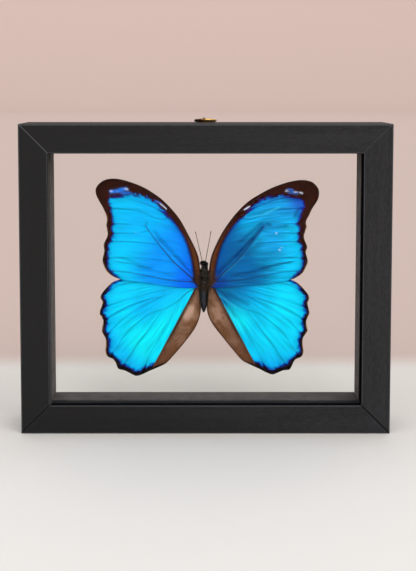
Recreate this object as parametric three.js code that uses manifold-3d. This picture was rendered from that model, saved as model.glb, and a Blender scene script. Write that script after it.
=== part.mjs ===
// A framed butterfly specimen. A spread blue morpho butterfly floats between two clear panes
// in a small black wooden frame, with a brass hanging ring on a screw eye on top.
// Millimetres, +Z up. The origin is the middle of the frame's underside, the front faces -Y.
import * as THREE from 'three';
import { mergeVertices } from 'three/addons/utils/BufferGeometryUtils.js';
import Module from 'manifold-3d';

const wasm = await Module();
wasm.setup();

// ---- Driving dimensions ----------------------------------------------------------------

const FRAME_WIDTH = 203;
const FRAME_HEIGHT = 170.5;
const FRAME_DEPTH = 36;

const RAIL_FACE = 16; // seen width of a rail, from the outer edge to the window
const RAIL_WALL = 9; // thickness of a rail behind its front lip
const LIP_DEPTH = 8.4; // thickness of the front lip
const ARRIS = 0.8; // rounding of the rails' long edges
const ARRIS_STEPS = 3;

const PANE_THICKNESS = 2;
const SPACER_DEPTH = 15;
const BEAD_WIDTH = 2.6;
const BEAD_DEPTH = 6;
const BEAD_CHAMFER = 1;

const FIT = 0.3; // side clearance of what is let into the frame, and the mitre joints' gap
const SEAT = 0.1; // clearance in depth between the stacked panes, spacers and beads

const EYE_LOOP = 1.35; // radius of the screw eye's loop, at the middle of its wire
const EYE_WIRE = 0.45;
const EYE_SHANK = 0.7; // radius
const EYE_SHANK_LENGTH = 6.5;
const EYE_X = -0.9;
const EYE_BACK = 16; // from the front face to the screw eye
const EYE_TURN = -9; // degrees that the loop is turned about the shank, square to the ring's wire

const RING_RADIUS = 5.65; // at the middle of the wire
const RING_WIRE = 0.7;

const WINGS_BACK = 18; // from the front face to the plane of the wings
const WING_ROOT_HEIGHT = 82.1; // the wing roots above the frame's underside
const BODY_X = -0.5;
const WING_THICKNESS = 0.4;
const WING_LAYER = 0.7; // forewings lie this far before the plane, hindwings behind it
const WING_SPAN = 60; // one side, for the wings' camber
const FOREWING_DROOP = 2;
const FOREWING_CROWN = 0.6;
const HINDWING_DROOP = 1.5;
const BODY_GAP = 0.3; // between the body and the wings, antennae and glue

// ---- Materials ---------------------------------------------------------------------------

function finish(color, roughness, metalness = 0, opacity = 1) {
  return new THREE.MeshStandardMaterial({
    color, roughness, metalness, opacity, transparent: opacity < 1,
  });
}

const blackWood = () => finish(0x2b2a2c, 0.55);
const spacerCard = () => finish(0x4a4544, 0.8);
const beadWood = () => finish(0x1d1c1d, 0.7);
const clearGlass = () => finish(0xeef4f2, 0.03, 0, 0.2);
const brass = () => finish(0xb98a3a, 0.3, 1);
const bodyChitin = () => finish(0x17140f, 0.45);
const foreBlue = () => finish(0x0a7fe0, 0.35, 0.2);
const hindBlue = () => finish(0x14b4ee, 0.35, 0.2);
const clearGlue = () => finish(0xe8e2cc, 0.2, 0, 0.4);

// ---- Helpers -----------------------------------------------------------------------------

const specimen = new THREE.Group();

function addPart(parent, name, geometry, material) {
  const mesh = new THREE.Mesh(geometry, material);
  mesh.name = name;
  parent.add(mesh);
  return mesh;
}

// A closed geometry with one vertex at each corner, which booleans and welding need.
function welded(geometry) {
  const bare = geometry.clone();
  bare.deleteAttribute('normal');
  bare.deleteAttribute('uv');
  return mergeVertices(bare, 1e-4);
}

function solidOf(geometry) {
  const mesh = welded(geometry);
  return new wasm.Manifold(new wasm.Mesh({
    numProp: 3,
    vertProperties: Float32Array.from(mesh.attributes.position.array),
    triVerts: Uint32Array.from(mesh.index.array),
  }));
}

function geometryOf(solid) {
  const mesh = solid.getMesh();
  const geometry = new THREE.BufferGeometry();
  geometry.setAttribute('position', new THREE.BufferAttribute(mesh.vertProperties, 3));
  geometry.setIndex(new THREE.BufferAttribute(mesh.triVerts, 1));
  return geometry;
}

function joined(geometries) {
  return geometries.map(solidOf).reduce((whole, piece) => whole.add(piece));
}

function ellipsoid(centre, radii, around = 14, down = 10) {
  const geometry = new THREE.SphereGeometry(1, around, down);
  return geometry.scale(...radii).translate(...centre);
}

// A round piece turned on the line from one point to another. Profile: [radius, 0..1 along].
function turned(profile, from, to, sides) {
  const start = new THREE.Vector3(...from);
  const along = new THREE.Vector3(...to).sub(start);
  const length = along.length();
  const outline = profile.map(([radius, share]) => new THREE.Vector2(radius, share * length));
  const turn = new THREE.Quaternion().setFromUnitVectors(
    new THREE.Vector3(0, 1, 0), along.normalize());
  return new THREE.LatheGeometry(outline, sides).applyQuaternion(turn).translate(...start);
}

// ---- Frame -------------------------------------------------------------------------------

// A quarter circle of a profile's rounded corner, from one angle to another (degrees).
function arrisPoints(centreIn, centreBack, fromAngle, toAngle) {
  return Array.from({ length: ARRIS_STEPS + 1 }, (_, step) => {
    const angle = THREE.MathUtils.degToRad(
      fromAngle + (toAngle - fromAngle) * step / ARRIS_STEPS);
    return [centreIn + ARRIS * Math.cos(angle), centreBack + ARRIS * Math.sin(angle)];
  });
}

// Profiles are [distance in from the frame's outer edge, distance back from its front face].
function railProfile() {
  return [
    ...arrisPoints(ARRIS, ARRIS, 180, 270),
    ...arrisPoints(RAIL_FACE - ARRIS, ARRIS, 270, 360),
    [RAIL_FACE, LIP_DEPTH],
    [RAIL_WALL, LIP_DEPTH],
    ...arrisPoints(RAIL_WALL - ARRIS, FRAME_DEPTH - ARRIS, 0, 90),
    ...arrisPoints(ARRIS, FRAME_DEPTH - ARRIS, 90, 180),
  ];
}

function spacerProfile(front) {
  return [
    [RAIL_WALL + FIT, front],
    [RAIL_FACE, front],
    [RAIL_FACE, front + SPACER_DEPTH],
    [RAIL_WALL + FIT, front + SPACER_DEPTH],
  ];
}

function beadProfile(front) {
  const inner = RAIL_WALL + FIT + BEAD_WIDTH;
  return [
    [RAIL_WALL + FIT, front],
    [inner, front],
    [inner, front + BEAD_DEPTH - BEAD_CHAMFER],
    [inner - BEAD_CHAMFER, front + BEAD_DEPTH],
    [RAIL_WALL + FIT, front + BEAD_DEPTH],
  ];
}

// A bar along X with both ends cut at 45 degrees, its inward side up and its back to +Y.
function mitredBar(profile, outerLength) {
  const shape = new THREE.Shape(profile.map(([inward, back]) => new THREE.Vector2(inward, back)));
  const geometry = new THREE.ExtrudeGeometry(shape, { depth: 1, bevelEnabled: false });
  const position = geometry.attributes.position;
  for (let i = 0; i < position.count; i += 1) {
    const inward = position.getX(i);
    const back = position.getY(i);
    const end = 1 - 2 * position.getZ(i);
    const half = outerLength / 2 - inward - FIT / 2;
    position.setXYZ(i, end * half, back - FRAME_DEPTH / 2, inward);
  }
  return geometry;
}

const SIDES = [
  { side: 'bottom', length: FRAME_WIDTH, at: [0, 0, 0], turn: 0 },
  { side: 'right', length: FRAME_HEIGHT, at: [FRAME_WIDTH / 2, 0, FRAME_HEIGHT / 2], turn: -90 },
  { side: 'top', length: FRAME_WIDTH, at: [0, 0, FRAME_HEIGHT], turn: 180 },
  { side: 'left', length: FRAME_HEIGHT, at: [-FRAME_WIDTH / 2, 0, FRAME_HEIGHT / 2], turn: 90 },
];

// Four mitred bars of one profile round the window. A bar's own cut is made before it turns.
function addBars(stem, profile, material, cuts = {}) {
  for (const { side, length, at, turn } of SIDES) {
    let geometry = mitredBar(profile, length);
    if (cuts[side]) {
      geometry = geometryOf(solidOf(geometry).subtract(cuts[side]));
    }
    const bar = addPart(specimen, `${stem}_${side}`, geometry, material());
    bar.position.set(...at);
    bar.rotation.y = THREE.MathUtils.degToRad(turn);
  }
}

function addPane(name, front) {
  const inset = 2 * (RAIL_WALL + FIT);
  const pane = new THREE.BoxGeometry(
    FRAME_WIDTH - inset, PANE_THICKNESS, FRAME_HEIGHT - inset);
  const mesh = addPart(specimen, name, pane, clearGlass());
  mesh.position.set(0, front + PANE_THICKNESS / 2 - FRAME_DEPTH / 2, FRAME_HEIGHT / 2);
}

const frontPaneAt = LIP_DEPTH + SEAT;
const spacerAt = frontPaneAt + PANE_THICKNESS + SEAT;
const backPaneAt = spacerAt + SPACER_DEPTH + SEAT;
const beadAt = backPaneAt + PANE_THICKNESS + SEAT;
const eyeY = EYE_BACK - FRAME_DEPTH / 2;

// The hole for the screw eye, in the frame of the top bar before it is turned over.
function eyeHole() {
  const radius = EYE_SHANK + FIT;
  const deep = EYE_SHANK_LENGTH + FIT;
  const hole = new THREE.CylinderGeometry(radius, radius, 2 * deep, 12);
  return solidOf(hole.rotateX(Math.PI / 2).translate(-EYE_X, eyeY, 0));
}

addBars('rail', railProfile(), blackWood, { top: eyeHole() });
addPane('front_glass', frontPaneAt);
addBars('spacer', spacerProfile(spacerAt), spacerCard);
addPane('back_glass', backPaneAt);
addBars('stop_bead', beadProfile(beadAt), beadWood);

// ---- Screw eye and hanging ring ----------------------------------------------------------

const eyeHoleHeight = EYE_LOOP + EYE_WIRE + SEAT; // middle of the loop above the top rail
// The ring's wire lies on the lower inside of the loop and its far side on the rail.
const ringAxisHeight = eyeHoleHeight - (EYE_LOOP - EYE_WIRE) + RING_WIRE + SEAT;
const ringDrop = ringAxisHeight - RING_WIRE - SEAT;
const ringTilt = Math.asin(ringDrop / (2 * RING_RADIUS));

function addScrewEye() {
  const loop = new THREE.TorusGeometry(EYE_LOOP, EYE_WIRE, 8, 16);
  loop.rotateY(Math.PI / 2).rotateZ(THREE.MathUtils.degToRad(EYE_TURN));
  loop.translate(0, 0, eyeHoleHeight);
  const neckTop = eyeHoleHeight - EYE_LOOP;
  const shank = turned(
    [[0, 0], [EYE_SHANK * 0.3, 0], [EYE_SHANK, 0.25], [EYE_SHANK, 0.9], [EYE_WIRE, 1], [0, 1]],
    [0, 0, -EYE_SHANK_LENGTH], [0, 0, neckTop], 10);
  const eye = addPart(specimen, 'screw_eye', geometryOf(joined([loop, shank])), brass());
  eye.position.set(EYE_X, eyeY, FRAME_HEIGHT);
}

function addHangingRing() {
  const ring = new THREE.TorusGeometry(RING_RADIUS, RING_WIRE, 8, 32);
  ring.translate(0, RING_RADIUS, 0);
  ring.rotateX(-ringTilt);
  const mesh = addPart(specimen, 'hanging_ring', ring, brass());
  mesh.position.set(0, eyeY, FRAME_HEIGHT + ringAxisHeight);
}

addScrewEye();
addHangingRing();

// ---- Butterfly ---------------------------------------------------------------------------

// Its frame: X across with the left wings on -X, Y to the back, Z towards the head.
const butterfly = new THREE.Group();
butterfly.position.set(BODY_X, WINGS_BACK - FRAME_DEPTH / 2, WING_ROOT_HEIGHT);
specimen.add(butterfly);

const ABDOMEN = {
  base: [-0.3, 0.5, -3.5],
  tip: [-0.4, 0.9, -18.7],
  radius: 2.85,
  segments: 8,
  joint: 0.955, // how far it is drawn in where two segments meet
  sides: 14,
};

// A long taper, full at the waist and blunt at the tip, pinched in where its segments meet.
function abdomen(grow) {
  const stops = [
    { part: 0.04, girth: ABDOMEN.joint },
    { part: 0.4, girth: 1 },
    { part: 0.85, girth: 1 },
  ];
  const profile = [[0, 0]];
  for (let segment = 0; segment < ABDOMEN.segments; segment += 1) {
    for (const { part, girth } of stops) {
      const share = (segment + part) / ABDOMEN.segments;
      const taper = (1 - share ** 2.6) ** 0.75;
      profile.push([girth * ABDOMEN.radius * taper + grow, share]);
    }
  }
  profile.push([0, 1]);
  return turned(profile, ABDOMEN.base, ABDOMEN.tip, ABDOMEN.sides);
}

const LEG_RADIUS = 0.3;

// One folded leg down the underside: thigh out, shin back in and the foot laid along.
function leg(side, root, reach, grow) {
  const path = new THREE.CatmullRomCurve3([
    new THREE.Vector3(side * 1.6, 2.0, root),
    new THREE.Vector3(side * 3.3, 3.7, root - reach * 0.35),
    new THREE.Vector3(side * 2.7, 4.5, root - reach * 0.6),
    new THREE.Vector3(side * 1.9, 4.4, root - reach),
  ]);
  const section = new THREE.Shape();
  section.absarc(0, 0, LEG_RADIUS + grow, 0, 2 * Math.PI);
  return new THREE.ExtrudeGeometry(section, { steps: 7, curveSegments: 3, extrudePath: path });
}

function bodyGeometries(grow = 0) {
  const lump = (centre, radii, around, down) => ellipsoid(
    centre, radii.map((radius) => radius + grow), around, down);
  const thorax = [
    lump([0, 0.4, 6.2], [2.1, 2.0, 1.9]),
    lump([0, 0.6, 1.6], [3.0, 3.2, 5.2], 16, 12),
    lump([0, 0.8, -3.0], [3.1, 2.6, 3.1]),
  ];
  const head = [
    lump([-0.2, 0.3, 8.5], [1.7, 1.5, 1.6], 12, 8),
    lump([-1.5, 0.2, 8.8], [1.2, 1.35, 1.35], 12, 8),
    lump([1.1, 0.4, 8.2], [1.15, 1.3, 1.3], 12, 8),
    lump([-0.65, -0.7, 9.7], [0.4, 0.55, 0.85], 8, 6),
    lump([0.35, -0.7, 9.6], [0.4, 0.55, 0.85], 8, 6),
  ];
  const tongue = new THREE.CylinderGeometry(0.9 + grow, 0.9 + grow, 0.5 + 2 * grow, 12);
  tongue.rotateZ(Math.PI / 2).translate(-0.15, 1.9, 9.2);
  const legs = [-1, 1].flatMap((side) => [
    leg(side, 4.6, 4.5, grow),
    leg(side, 1.2, 8.5, grow),
    leg(side, -2.2, 9.5, grow),
  ]);
  return [...thorax, ...head, tongue, abdomen(grow), ...legs];
}

const body = joined(bodyGeometries());
const bodyRoom = joined(bodyGeometries(BODY_GAP));
addPart(butterfly, 'butterfly_body', geometryOf(body), bodyChitin());

// Straight thin feelers, a little thicker at the club on the end.
function addAntenna(name, root, tip) {
  const profile = [[0, 0], [0.24, 0], [0.2, 0.5], [0.22, 0.82], [0.4, 0.92], [0.3, 0.985], [0, 1]];
  const feeler = solidOf(turned(profile, root, tip, 6)).subtract(bodyRoom);
  addPart(butterfly, name, geometryOf(feeler), bodyChitin());
}

addAntenna('left_antenna', [-1.2, -0.6, 9.8], [-5.1, -2.0, 26.7]);
addAntenna('right_antenna', [0.5, -0.6, 9.6], [3.7, -2.0, 27.1]);

// A waisted drop between the underside of the thorax and the back pane.
function addGlueDab() {
  const height = 1.9;
  const front = 3.2;
  const back = backPaneAt - WINGS_BACK - SEAT;
  const dab = turned(
    [[0, 0], [1.9, 0], [1.7, 0.45], [2.1, 0.8], [2.9, 1], [0, 1]],
    [0, front, height], [0, back, height], 16);
  const clear = solidOf(dab).subtract(bodyRoom);
  addPart(butterfly, 'glue_dab', geometryOf(clear), clearGlue());
}

addGlueDab();

// ---- Wings -------------------------------------------------------------------------------

// Outlines are [out from the body's middle, up from the wing roots]. The two sides of a real
// specimen are grown and set a little differently, so each wing has its own. Each runs from
// the root along the leading edge, round the lobes of the outer margin and back.
const LEFT_FOREWING = [
  [2.2, 1.0], [2.4, 5.5], [5.1, 15.3], [9.9, 25.2], [14.6, 33.6], [20.0, 40.5], [25.0, 45.6],
  [32.0, 50.6], [40.0, 54.1], [50.0, 56.5], [56.5, 55.5], [60.4, 52.2], [61.2, 49.4],
  [60.2, 46.0], [57.4, 41.0], [55.0, 35.5], [54.8, 33.5], [55.2, 30.5], [54.4, 26.0],
  [55.2, 23.4], [56.8, 19.8], [56.4, 16.5], [57.5, 11.3], [56.7, 8.0], [54.9, 4.7],
  [51.3, 2.0], [46.5, 0.3], [38.0, -1.0], [28.0, -2.3], [15.0, -3.9], [6.0, -4.2], [2.6, -3.0],
];
const RIGHT_FOREWING = [
  [2.2, 1.0], [2.4, 6.5], [5.0, 15.3], [9.8, 25.4], [14.6, 32.6], [20.0, 39.4], [25.0, 44.2],
  [32.0, 48.8], [40.0, 52.5], [52.0, 55.6], [59.5, 54.8], [63.1, 51.6], [64.0, 48.6],
  [63.1, 44.4], [60.2, 40.0], [58.3, 35.8], [56.6, 32.5], [57.1, 29.7], [55.6, 25.2],
  [56.0, 22.4], [57.5, 18.4], [56.7, 15.6], [57.9, 10.6], [56.6, 6.9], [55.3, 4.4],
  [52.3, 2.0], [47.8, 0.1], [38.0, -1.9], [28.0, -2.8], [15.0, -3.5], [6.0, -4.0], [2.6, -3.0],
];
const LEFT_HINDWING = [
  [2.6, -3.0], [4.0, -0.8], [12.0, 2.6], [24.0, 4.6], [36.0, 4.2], [47.0, 0.5], [52.0, -1.4],
  [55.8, -4.9], [58.3, -8.2], [58.9, -10.2], [57.7, -12.6], [59.1, -17.2], [59.3, -19.4],
  [57.4, -22.8], [57.8, -26.0], [58.2, -29.4], [56.2, -33.0], [56.0, -37.0], [56.3, -41.0],
  [54.9, -43.6], [52.2, -44.8], [50.4, -47.3], [49.2, -50.4], [45.6, -51.4], [42.4, -53.0],
  [38.9, -54.5], [35.2, -53.4], [31.0, -51.4], [25.6, -49.2], [22.0, -47.5], [18.2, -43.7],
  [10.0, -34.1], [4.8, -26.6], [2.3, -18.4], [2.2, -11.0], [2.2, -6.0],
];
const RIGHT_HINDWING = [
  [2.6, -3.0], [4.0, -0.8], [12.0, 2.6], [24.0, 4.4], [36.0, 3.6], [47.6, 0.3], [52.4, -1.8],
  [56.0, -5.4], [58.4, -8.5], [59.0, -10.6], [58.0, -13.2], [59.2, -18.3], [58.9, -19.9],
  [57.4, -23.2], [57.8, -26.4], [58.1, -29.2], [55.8, -32.4], [55.4, -35.8], [56.0, -40.2],
  [55.0, -43.4], [51.8, -44.9], [50.2, -47.0], [48.3, -50.8], [44.9, -51.3], [41.6, -52.6],
  [38.6, -53.7], [35.0, -52.5], [31.0, -50.4], [25.4, -47.9], [21.6, -46.1], [17.8, -42.1],
  [10.0, -32.7], [4.2, -25.2], [1.4, -18.4], [1.4, -11.0], [2.0, -6.0],
];
const FOREWING_HUB = [36, 25];
const HINDWING_HUB = [30, -22];
const INNER_FOLD = { from: [6.3, -5.5], to: [29.8, -49.5], slope: 0.42, softness: 4 };
const WING_RINGS = [1, 0.76, 0.5, 0.25];
const SAMPLES_PER_POINT = 2;

// How far a point of the outline plane stands back, for wings that droop to their tips.
function forewingSurface(out, up) {
  const droop = FOREWING_DROOP * (out / WING_SPAN) ** 2;
  return droop - WING_LAYER - FOREWING_CROWN * Math.sin(Math.PI * up / WING_SPAN);
}

// The hindwing's brown inner part folds back along a line, to lie behind the abdomen.
function hindwingSurface(out, up) {
  const [fromOut, fromUp] = INNER_FOLD.from;
  const run = [INNER_FOLD.to[0] - fromOut, INNER_FOLD.to[1] - fromUp];
  const past = ((out - fromOut) * run[1] - (up - fromUp) * run[0]) / Math.hypot(...run);
  const inside = Math.max(0, past);
  const fold = INNER_FOLD.slope * inside ** 2 / (inside + INNER_FOLD.softness);
  return WING_LAYER + HINDWING_DROOP * (Math.hypot(out, up) / WING_SPAN) ** 2 + fold;
}

// A thin sheet: rings of the outline drawn in towards a hub, on both faces, and its rim.
function wingSheet(side, outline, hub, surface) {
  const curve = new THREE.CatmullRomCurve3(
    outline.map(([out, up]) => new THREE.Vector3(out, 0, up)), true, 'centripetal');
  const count = outline.length * SAMPLES_PER_POINT;
  const rim = Array.from({ length: count }, (_, i) => curve.getPoint(i / count));
  const points = [];
  const triangles = [];
  for (const face of [-1, 1]) {
    const place = (out, up) => {
      points.push(side * out, surface(out, up) + face * WING_THICKNESS / 2, up);
    };
    for (const share of WING_RINGS) {
      for (const { x, z } of rim) {
        place(hub[0] + (x - hub[0]) * share, hub[1] + (z - hub[1]) * share);
      }
    }
    place(...hub);
  }
  const faceSize = count * WING_RINGS.length + 1;
  const addTriangle = (a, b, c, flip) => triangles.push(...(flip ? [a, c, b] : [a, b, c]));
  for (const face of [0, 1]) {
    const first = face * faceSize;
    const flip = (side > 0) !== (face === 0);
    for (let i = 0; i < count; i += 1) {
      const next = (i + 1) % count;
      for (let ring = 0; ring + 1 < WING_RINGS.length; ring += 1) {
        const outer = first + ring * count;
        const inner = outer + count;
        addTriangle(outer + i, inner + i, inner + next, flip);
        addTriangle(outer + i, inner + next, outer + next, flip);
      }
      const last = first + (WING_RINGS.length - 1) * count;
      addTriangle(last + i, first + faceSize - 1, last + next, flip);
    }
  }
  for (let i = 0; i < count; i += 1) {
    const next = (i + 1) % count;
    addTriangle(i, next, faceSize + next, side < 0);
    addTriangle(i, faceSize + next, faceSize + i, side < 0);
  }
  const geometry = new THREE.BufferGeometry();
  geometry.setAttribute('position', new THREE.Float32BufferAttribute(points, 3));
  geometry.setIndex(triangles);
  return geometry;
}

function addWing(name, side, outline, hub, surface, material) {
  const sheet = solidOf(wingSheet(side, outline, hub, surface)).subtract(bodyRoom);
  const [wing] = sheet.decompose().sort((a, b) => b.volume() - a.volume());
  addPart(butterfly, name, geometryOf(wing), material());
}

addWing('left_forewing', -1, LEFT_FOREWING, FOREWING_HUB, forewingSurface, foreBlue);
addWing('right_forewing', 1, RIGHT_FOREWING, FOREWING_HUB, forewingSurface, foreBlue);
addWing('left_hindwing', -1, LEFT_HINDWING, HINDWING_HUB, hindwingSurface, hindBlue);
addWing('right_hindwing', 1, RIGHT_HINDWING, HINDWING_HUB, hindwingSurface, hindBlue);

export default specimen;
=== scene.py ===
"""Dresses the framed butterfly specimen: black wood, clear panes, brass, scaled wings and fur."""
import logging
import math
from dataclasses import dataclass
from enum import Enum
from typing import Callable, Sequence

import bpy
import numpy as np
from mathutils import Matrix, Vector


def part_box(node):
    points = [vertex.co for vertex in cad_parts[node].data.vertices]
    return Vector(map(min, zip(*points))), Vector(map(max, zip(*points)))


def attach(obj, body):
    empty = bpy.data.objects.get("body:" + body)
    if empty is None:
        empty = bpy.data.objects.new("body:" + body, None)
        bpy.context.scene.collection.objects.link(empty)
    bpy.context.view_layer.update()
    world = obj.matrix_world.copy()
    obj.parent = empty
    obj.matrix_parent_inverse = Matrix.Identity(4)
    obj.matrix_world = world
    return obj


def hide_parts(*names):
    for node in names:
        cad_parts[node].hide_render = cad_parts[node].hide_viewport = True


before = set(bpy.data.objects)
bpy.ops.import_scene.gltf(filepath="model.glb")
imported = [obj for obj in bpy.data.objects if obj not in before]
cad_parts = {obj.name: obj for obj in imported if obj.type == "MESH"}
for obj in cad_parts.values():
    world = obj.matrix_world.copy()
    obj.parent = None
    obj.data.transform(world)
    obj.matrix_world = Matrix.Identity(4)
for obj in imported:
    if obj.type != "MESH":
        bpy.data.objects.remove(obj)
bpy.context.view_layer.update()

log = logging.getLogger("specimen")

MM = 0.001
Colour = tuple[float, float, float, float]
Point2 = tuple[float, float]
Socket = bpy.types.NodeSocket

# The frame's main sizes, in millimetres, as in the solids.
FRAME_WIDTH = 203.0
FRAME_HEIGHT = 170.5
FRAME_DEPTH = 36.0
RAIL_FACE = 16.0
BODY_X = -0.5
WING_ROOT_HEIGHT = 82.1
WINGS_BACK = 18.0
SPECIMEN_AT = (BODY_X, WINGS_BACK - FRAME_DEPTH / 2, WING_ROOT_HEIGHT)
WINDOW_HALF_WIDTH = (FRAME_WIDTH / 2 - RAIL_FACE) * MM
WINDOW_HALF_HEIGHT = (FRAME_HEIGHT / 2 - RAIL_FACE) * MM


def srgb(red: float, green: float, blue: float) -> Colour:
    """Turns a colour of 0 to 255 a channel into the linear colour that shaders take."""
    return (*(_linear(c / 255) for c in (red, green, blue)), 1.0)


def _linear(value: float) -> float:
    """Undoes the display curve of one channel, 0 to 1."""
    return value / 12.92 if value <= 0.04045 else ((value + 0.055) / 1.055) ** 2.4


# ---- Shader graphs -------------------------------------------------------------------------


class Shader:
    """A material's node tree, written as a few short formulas."""

    def __init__(self, name: str) -> None:
        """Starts an empty material of that name."""
        self.material = bpy.data.materials.new(name)
        self.material.use_nodes = True
        self.tree = self.material.node_tree
        self.tree.nodes.clear()
        self._object_place: Socket | None = None

    def node(self, kind: str, **settings: object) -> bpy.types.Node:
        """Adds a node and sets its plain properties.

        Args:
            kind: the node type's name, without the leading ShaderNode.
            **settings: properties of the node.

        Returns:
            The new node.
        """
        made = self.tree.nodes.new("ShaderNode" + kind)
        for key, value in settings.items():
            setattr(made, key, value)
        return made

    def feed(self, target: Socket, value: object) -> None:
        """Links a socket to a socket, or sets it to a plain value."""
        if isinstance(value, bpy.types.NodeSocket):
            self.tree.links.new(value, target)
        else:
            target.default_value = value

    def math(self, operation: str, *terms: object, clamp: bool = False) -> Socket:
        """Adds a Math node.

        Args:
            operation: the node's operation, such as MULTIPLY.
            *terms: sockets or numbers, in the node's order.
            clamp: keeps the result within 0 and 1.

        Returns:
            The result's socket.
        """
        made = self.node("Math", operation=operation, use_clamp=clamp)
        for target, value in zip(made.inputs, terms):
            self.feed(target, value)
        return made.outputs[0]

    def times(self, first: object, *others: object) -> Socket:
        """Multiplies two or more numbers."""
        for other in others:
            first = self.math("MULTIPLY", first, other)
        return first

    def plus(self, first: object, second: object, clamp: bool = False) -> Socket:
        """Adds two numbers and can keep the sum within 0 and 1."""
        return self.math("ADD", first, second, clamp=clamp)

    def minus(self, first: object, second: object) -> Socket:
        """Takes the second number from the first."""
        return self.math("SUBTRACT", first, second)

    def unsigned(self, value: object) -> Socket:
        """Drops a number's sign."""
        return self.math("ABSOLUTE", value)

    def larger(self, first: object, *others: object) -> Socket:
        """Gives the largest of two or more numbers."""
        for other in others:
            first = self.math("MAXIMUM", first, other)
        return first

    def step(self, value: object, low: float, high: float,
             start: float = 0.0, end: float = 1.0) -> Socket:
        """Rises smoothly from start to end as the value goes from low to high.

        Args:
            value: the socket that is read.
            low: where the rise begins.
            high: where it ends.
            start: the result below low.
            end: the result above high.

        Returns:
            The result's socket.
        """
        made = self.node("MapRange", interpolation_type="SMOOTHSTEP")
        for target, item in zip(made.inputs, (value, low, high, start, end)):
            self.feed(target, item)
        return made.outputs[0]

    def mix(self, share: object, first: object, second: object, blend: str = "MIX") -> Socket:
        """Mixes two colours.

        Args:
            share: 0 for the first, 1 for the second.
            first: a colour or socket.
            second: a colour or socket.
            blend: the blend mode's name.

        Returns:
            The colour's socket.
        """
        made = self.node("Mix", data_type="RGBA", blend_type=blend)
        self.feed(made.inputs[0], share)
        self.feed(made.inputs[6], first)
        self.feed(made.inputs[7], second)
        return made.outputs[2]

    def value(self, name: str) -> Socket:
        """Reads a named number that the mesh carries."""
        return self.node("Attribute", attribute_name=name).outputs["Fac"]

    def colour(self, name: str) -> Socket:
        """Reads a named colour that the mesh carries."""
        return self.node("Attribute", attribute_name=name).outputs["Color"]

    def place(self, scale: Sequence[float] = (1, 1, 1)) -> Socket:
        """Gives the point on the object in metres, stretched along X, Y and Z."""
        if self._object_place is None:
            self._object_place = self.node("TexCoord").outputs["Object"]
        made = self.node("Mapping")
        self.feed(made.inputs["Vector"], self._object_place)
        self.feed(made.inputs["Scale"], scale)
        return made.outputs[0]

    def parts(self, vector: Socket) -> tuple[Socket, Socket, Socket]:
        """Splits a vector into its three numbers."""
        made = self.node("SeparateXYZ")
        self.feed(made.inputs[0], vector)
        return made.outputs[0], made.outputs[1], made.outputs[2]

    def away(self, centre: Sequence[float]) -> Socket:
        """Gives the distance from a place, in millimetres."""
        made = self.node("VectorMath", operation="DISTANCE")
        self.feed(made.inputs[0], self.place())
        self.feed(made.inputs[1], tuple(c * MM for c in centre))
        return self.times(made.outputs["Value"], 1 / MM)

    def blend(self, share: object, first: Socket, second: Socket) -> Socket:
        """Mixes two surfaces."""
        made = self.node("MixShader")
        for target, value in zip(made.inputs, (share, first, second)):
            self.feed(target, value)
        return made.outputs[0]

    def streaks(self, across: Socket, along: Socket, fine: float, long: float,
                detail: float = 2.0) -> Socket:
        """Adds noise that is drawn out in one direction.

        Args:
            across: the place across the streaks, in mm.
            along: the place along them, in mm.
            fine: streaks for each millimetre across.
            long: streaks for each millimetre along.
            detail: how many finer layers it has.

        Returns:
            The value's socket, about 0 to 1.
        """
        place = self.vector(self.times(across, fine), self.times(along, long), 0.0)
        return self.noise(place, 1.0, detail, 0.55)

    def vector(self, *parts: object) -> Socket:
        """Joins three numbers into a vector."""
        made = self.node("CombineXYZ")
        for target, value in zip(made.inputs, parts):
            self.feed(target, value)
        return made.outputs[0]

    def noise(self, place: Socket, scale: float, detail: float = 2.0,
              rough: float = 0.5) -> Socket:
        """Adds a Noise Texture.

        Args:
            place: where it is read.
            scale: waves for each unit of the place.
            detail: how many finer layers it has.
            rough: how strong the finer layers are.

        Returns:
            The value's socket, about 0 to 1.
        """
        made = self.node("TexNoise")
        self.feed(made.inputs["Vector"], place)
        self.feed(made.inputs["Scale"], scale)
        self.feed(made.inputs["Detail"], detail)
        self.feed(made.inputs["Roughness"], rough)
        return made.outputs["Fac"]

    def cells(self, place: Socket, scale: float) -> Socket:
        """Adds a Voronoi Texture and gives the distance to its nearest cell's middle."""
        made = self.node("TexVoronoi")
        self.feed(made.inputs["Vector"], place)
        self.feed(made.inputs["Scale"], scale)
        return made.outputs["Distance"]

    def bump(self, height: Socket, strength: float, distance: float,
             under: Socket | None = None) -> Socket:
        """Adds a Bump node.

        Args:
            height: the relief, about 0 to 1.
            strength: how strongly it shows.
            distance: what a height of 1 stands for, in metres.
            under: another Bump node's normal to build on.

        Returns:
            The normal's socket.
        """
        made = self.node("Bump")
        self.feed(made.inputs["Height"], height)
        self.feed(made.inputs["Strength"], strength)
        self.feed(made.inputs["Distance"], distance)
        if under is not None:
            self.feed(made.inputs["Normal"], under)
        return made.outputs[0]

    def surface(self, **inputs: object) -> Socket:
        """Adds a Principled BSDF. Inputs are named with underscores for spaces.

        Args:
            **inputs: values or sockets, by input name.

        Returns:
            The shader's socket.
        """
        made = self.node("BsdfPrincipled")
        for key, value in inputs.items():
            self.feed(made.inputs[key.replace("_", " ")], value)
        return made.outputs[0]

    def finish(self, shader: Socket) -> bpy.types.Material:
        """Ends the tree in that shader and gives the material."""
        output = self.node("OutputMaterial")
        self.feed(output.inputs["Surface"], shader)
        return self.material


# ---- Finishes ------------------------------------------------------------------------------


class Grain(Enum):
    """The way that a strip's wood grain runs."""

    ACROSS = "x"
    UPRIGHT = "z"

    def stretch(self, fine: float, long: float) -> tuple[float, float, float]:
        """Gives the texture's scale along X, Y and Z for grain that runs this way."""
        return (long, fine, fine) if self is Grain.ACROSS else (fine, fine, long)


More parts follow.
